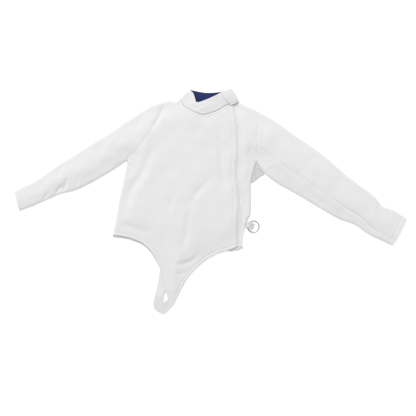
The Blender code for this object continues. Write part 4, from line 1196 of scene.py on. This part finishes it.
# Outer x, outer y, inner x, inner y, from the back tail round to the front tail
ELASTIC = [
    (-217, -370.9, -180, -373.9),
    (-221, -388, -181, -385),
    (-222.5, -404, -183, -394),
    (-218, -422, -181, -396),
    (-200, -436, -177, -392),
    (-181, -443, -172, -388),
    (-162, -429, -168, -385.6),
    (-139, -402, -166, -385),
    (-129.1, -381.1, -165.1, -384.1),
]

# Ribbed elastic: rubber cores in white polyester, a little greyer than the drill, and matt
ribbed = cotton("white_ribbed_elastic", "#e6e6e6", "#dadada", 1.3, 0.4)

elastic_table = np.array(ELASTIC, float)
across = np.linspace(0, 1, ELASTIC_COLUMNS)
elastic_surface = []
for place in np.linspace(0, len(ELASTIC) - 1, ELASTIC_ROWS):
    row = at_row(elastic_table, place)
    bend = math.sin(math.pi * place / (len(ELASTIC) - 1))
    ribs = RIB_HEIGHT * np.abs(np.sin(math.pi * across * ELASTIC_RIBS)) ** 0.7
    waves = 0.9 * np.sin(place * 7.3) + 0.6 * np.sin(place * 4.1 + 1)
    bunch = bend * waves * across**2 * (1 - across) * BUNCH_HEIGHT
    crease = CREASE_HEIGHT * bell(place - CREASE_AT - CREASE_SLANT * across, CREASE_WIDTH)
    fold = crease * ease(2.6 * across) * ease(4 * (1 - across))
    lift = INNER_LIFT * bend * bell(1 - across, 0.2)
    height = ELASTIC_WALL - RIB_HEIGHT + ribs + bunch + fold + lift
    plan = row[:2] + across[:, None] * (row[2:] - row[:2])
    elastic_surface.append(np.column_stack([plan, height]))
elastic = cloth(
    "crotch_elastic_strap", np.vstack(elastic_surface), grid_faces(ELASTIC_ROWS, ELASTIC_COLUMNS), ribbed,
    UP, wall=ELASTIC_WALL - 0.3,
)
fit(elastic, "elastic", "crotch_elastic")

# --- Waist tab ---------------------------------------------------------------
# A loop of white cotton webbing whose two ends are caught in the left side seam. It is folded round the
# ring's wire and stitched down in a box, and its turned end stands in a soft roll.

TAB_ROOT = (140.3, -92.0)
TAB_TURN = math.radians(-16.2)
TAB_HALF_WIDTH = 12.0
WEBBING_WALL = 1.0
WEBBING_GROOVE = (1.0, 0.5, 0.2)
WEBBING_ROUND = 0.5  # drop of its two edges
# Along the tab and height, round the loop
TAB_PROFILE = [
    (0, 2.2), (0, 5.4), (-0.3, 9.1), (1.5, 11.8), (7, 12.7), (13, 12.2), (20, 9.6), (27, 6.0), (30.6, 3.4),
    (31.4, 1.9), (30, 0.3), (27, 0), (10, 0), (3.4, 0), (1, 0.7),
]
TAB_BOX = [(13.5, -8.5), (13.5, 8.5), (24, 8.5), (24, -8.5), (13.5, -8.5), (24, 8.5), (24, -8.5), (13.5, 8.5)]
TAB_BARS = [[(5.5, -9), (5.5, 9)], [(7.4, -9), (7.4, 9)]]

# Cotton webbing, a coarse plain weave drawn at 1.8 mm
webbing = cotton("white_cotton_webbing", "#e4e4e4", "#d2d2d2", 1.8, 0.3)

tab_along = np.array([math.cos(TAB_TURN), math.sin(TAB_TURN)])
tab_across = np.array([-tab_along[1], tab_along[0]])


def from_tab(along, across, height):
    """Points in the tab's own directions, in the jacket's."""
    plan = np.array(TAB_ROOT) + np.outer(along, tab_along) + np.outer(across, tab_across)
    return np.column_stack([plan, height])


profile = smooth(TAB_PROFILE + TAB_PROFILE[:1], 0.8)[:-1]
tab_top = profile[profile[:, 1] > 2.3]
tab_top = tab_top[np.argsort(tab_top[:, 0])]


def tab_face(along, across):
    """Points on the tab's upper face, which its stitches pull in."""
    height = np.interp(along, tab_top[:, 0], tab_top[:, 1])
    return from_tab(along, across, height)


tab_lines = [np.vstack([np.linspace(a, b, 12, endpoint=False) for a, b in zip(TAB_BOX, TAB_BOX[1:])])]
tab_lines += [np.linspace(a, b, 14) for a, b in TAB_BARS]
strip = []
for share in np.linspace(-1, 1, 19):
    across_tab = np.full(len(profile), share * TAB_HALF_WIDTH)
    dip = sewn(np.column_stack([profile[:, 0], across_tab]), tab_lines, *WEBBING_GROOVE)
    edge = WEBBING_ROUND * abs(share) ** 6
    height = profile[:, 1] - (dip + edge) * ease((profile[:, 1] - 2.4) / 2)
    strip.append(from_tab(profile[:, 0], across_tab, height))
waist_tab = cloth(
    "waist_tab_loop", np.vstack(strip), grid_faces(len(strip), len(profile), closed=True), webbing,
    np.vstack(strip) - from_tab([15.0], [0.0], [5.0])[0], wall=WEBBING_WALL,
)
for line in tab_lines:
    path = tab_face(line[:, 0], line[:, 1])
    path[:, 2] += THREAD_RISE - 0.3
    SEWN_LINES.append(path)
fit(waist_tab, "webbing", "waist_tab")

# --- Ring --------------------------------------------------------------------
# A round ring bent from 5 mm steel wire, welded shut and nickel plated. It hangs in the waist tab's fold,
# and its far side lies on the surface.

RING_RADIUS = 22.5
RING_WIRE = 2.5
RING_PIVOT = (6.2, 4.3)  # along the tab, height
WELD_HALF = 1.3
WELD_RISE = 0.022  # a share of the wire

ring_tree = geometry_tree("wire_ring", ["Radius", "Wire", "Weld half length", "Weld rise"])
ring_in = add(ring_tree, "NodeGroupInput").outputs
hoop, wire_round = [
    add(ring_tree, "GeometryNodeCurvePrimitiveCircle", {"Resolution": sides, "Radius": radius}).outputs[0]
    for sides, radius in ((144, ring_in["Radius"]), (24, ring_in["Wire"]))
]
place = add(ring_tree, "GeometryNodeInputPosition").outputs[0]
from_weld = add(ring_tree, "ShaderNodeVectorMath", {
    0: place, 1: add(ring_tree, "ShaderNodeCombineXYZ", {"Y": ring_in["Radius"]}).outputs[0],
}, operation="DISTANCE").outputs["Value"]


def sum_node(operation, first, second):
    return add(ring_tree, "ShaderNodeMath", {0: first, 1: second}, operation=operation).outputs[0]


share = sum_node("DIVIDE", from_weld, ring_in["Weld half length"])
fall = sum_node("ADD", sum_node("MULTIPLY", share, share), 1.0)
thick = sum_node("ADD", sum_node("DIVIDE", ring_in["Weld rise"], fall), 1.0)
wire = add(ring_tree, "GeometryNodeCurveToMesh", {
    "Curve": add(ring_tree, "GeometryNodeSetCurveRadius", {"Curve": hoop, "Radius": thick}).outputs[0],
    "Profile Curve": wire_round,
}).outputs[0]
close_tree(ring_tree, wire, ring_in["Finish"])

# Nickel plate over drawn steel wire: warm grey, bright, and dulled in fine scratches by the hooks that it
# has held
nickel, tree, nickel_shader, place = new_finish("nickel_plated_wire", Metallic=1.0)
stretched = add(tree, "ShaderNodeMapping", {"Vector": place, "Scale": (1.0, 5.0, 1.0)}).outputs[0]
scratches = noise(tree, stretched, 900.0, 3.0)
gloss = add(tree, "ShaderNodeMapRange", {"Value": scratches, "To Min": 0.3, "To Max": 0.48}).outputs[0]
worn = shade(tree, noise(tree, place, 120.0, 2.0), "#b4b4b3", "#c8c8c7")
tree.links.new(worn, nickel_shader.inputs["Base Color"])
tree.links.new(gloss, nickel_shader.inputs["Roughness"])
tree.links.new(raised(tree, scratches, 0.15, 0.05), nickel_shader.inputs["Normal"])

ring = grown("nickel_ring", ring_tree, nickel, {
    "Radius": RING_RADIUS * MM, "Wire": RING_WIRE * MM, "Weld half length": WELD_HALF * MM,
    "Weld rise": WELD_RISE,
}, path_mesh([]))
tilt = math.asin((RING_PIVOT[1] - RING_WIRE) / (2 * RING_RADIUS))
pivot = from_tab([RING_PIVOT[0]], [0.0], [RING_PIVOT[1]])[0] * MM
place_ring = (
    Matrix.Translation(Vector(pivot)) @ Matrix.Rotation(TAB_TURN, 4, "Z") @ Matrix.Rotation(tilt, 4, "Y")
    @ Matrix.Translation(Vector((RING_RADIUS * MM, 0, 0)))
)
ring.data.transform(place_ring)
fit(ring, "ring", "ring", body="ring")

# --- Thread ------------------------------------------------------------------
# White core-spun polyester thread in lockstitch: the hems, the overlap, the neck, the collar, the tabs and
# the seams that are stitched down. The real stitches are 3 mm long in 0.4 mm thread, and are drawn a little
# coarser.

STITCH_PITCH = 4.2
STITCH_LENGTH = 3.2
STITCH_THICK = 0.75

thread_finish, tree, thread_shader, place = new_finish(
    "white_polyester_thread", Roughness=0.55, Sheen_Weight=0.2
)
twist = noise(tree, place, 1500.0, 2.0)
tree.links.new(shade(tree, twist, "#dfe0e2", "#ececee"), thread_shader.inputs["Base Color"])
tree.links.new(raised(tree, twist, 0.4, 0.1), thread_shader.inputs["Normal"])

stitches = grown("lockstitch_thread", row_tree, thread_finish, {
    "Pitch": STITCH_PITCH * MM, "Along": STITCH_LENGTH * MM, "Across": STITCH_THICK * MM,
    "Height": STITCH_THICK * MM, "Uneven": 0.07,
}, path_mesh(SEWN_LINES))
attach(stitches, "jacket")

# --- Studio ------------------------------------------------------------------
# A pale floor, a large soft light beyond the collar on the wearer's right, and even light from all round.

FLOOR_HALF = 5.0
FLOOR_CLEAR = 0.0004  # below what rests on it
WHITE = (1, 1, 1, 1)

floor_mesh = bpy.data.meshes.new("floor")
corners = [(FLOOR_HALF * x, FLOOR_HALF * y, 0) for x, y in ((-1, -1), (1, -1), (1, 1), (-1, 1))]
floor_mesh.from_pydata(corners, [], [(0, 1, 2, 3)])
floor = bpy.data.objects.new("floor", floor_mesh)
floor.location = (0, 0, -FLOOR_CLEAR)
bpy.context.scene.collection.objects.link(floor)
pale = bpy.data.materials.new("pale_floor")
pale.use_nodes = True
pale_shader = pale.node_tree.nodes["Principled BSDF"]
pale_shader.inputs["Base Color"].default_value = linear("#f4f4f4")
pale_shader.inputs["Roughness"].default_value = 0.9
pale_shader.inputs["Emission Color"].default_value = WHITE
pale_shader.inputs["Emission Strength"].default_value = 0.36
floor_mesh.materials.append(pale)

world = bpy.data.worlds.new("even_light")
world.use_nodes = True
world.node_tree.nodes["Background"].inputs["Color"].default_value = WHITE
world.node_tree.nodes["Background"].inputs["Strength"].default_value = 0.63
bpy.context.scene.world = world

KEY_AT = Vector((-3.4, 8.2, 8.4))
KEY_AIM = Vector((0, 0, 0))
key_light = bpy.data.lights.new("soft_key", "AREA")
key_light.shape = "DISK"
key_light.size = 6.4
key_light.energy = 900.0
key = bpy.data.objects.new("soft_key", key_light)
key.location = KEY_AT
key.rotation_mode = "QUATERNION"
key.rotation_quaternion = (KEY_AIM - KEY_AT).to_track_quat("-Z", "Y")
bpy.context.scene.collection.objects.link(key)

VIEW_WIDTH = 1.6224  # across the view
VIEW_LEVEL = 0.008  # height above the surface at which it is that wide
VIEW_CENTRE = (-0.0086, -0.0277)
camera_lens = bpy.data.cameras.new("camera")
camera_lens.lens = 100.0
camera = bpy.data.objects.new("camera", camera_lens)
camera.location = (*VIEW_CENTRE, VIEW_WIDTH * camera_lens.lens / camera_lens.sensor_width + VIEW_LEVEL)
bpy.context.scene.collection.objects.link(camera)
bpy.context.scene.camera = camera
bpy.context.scene.view_settings.view_transform = "Standard"
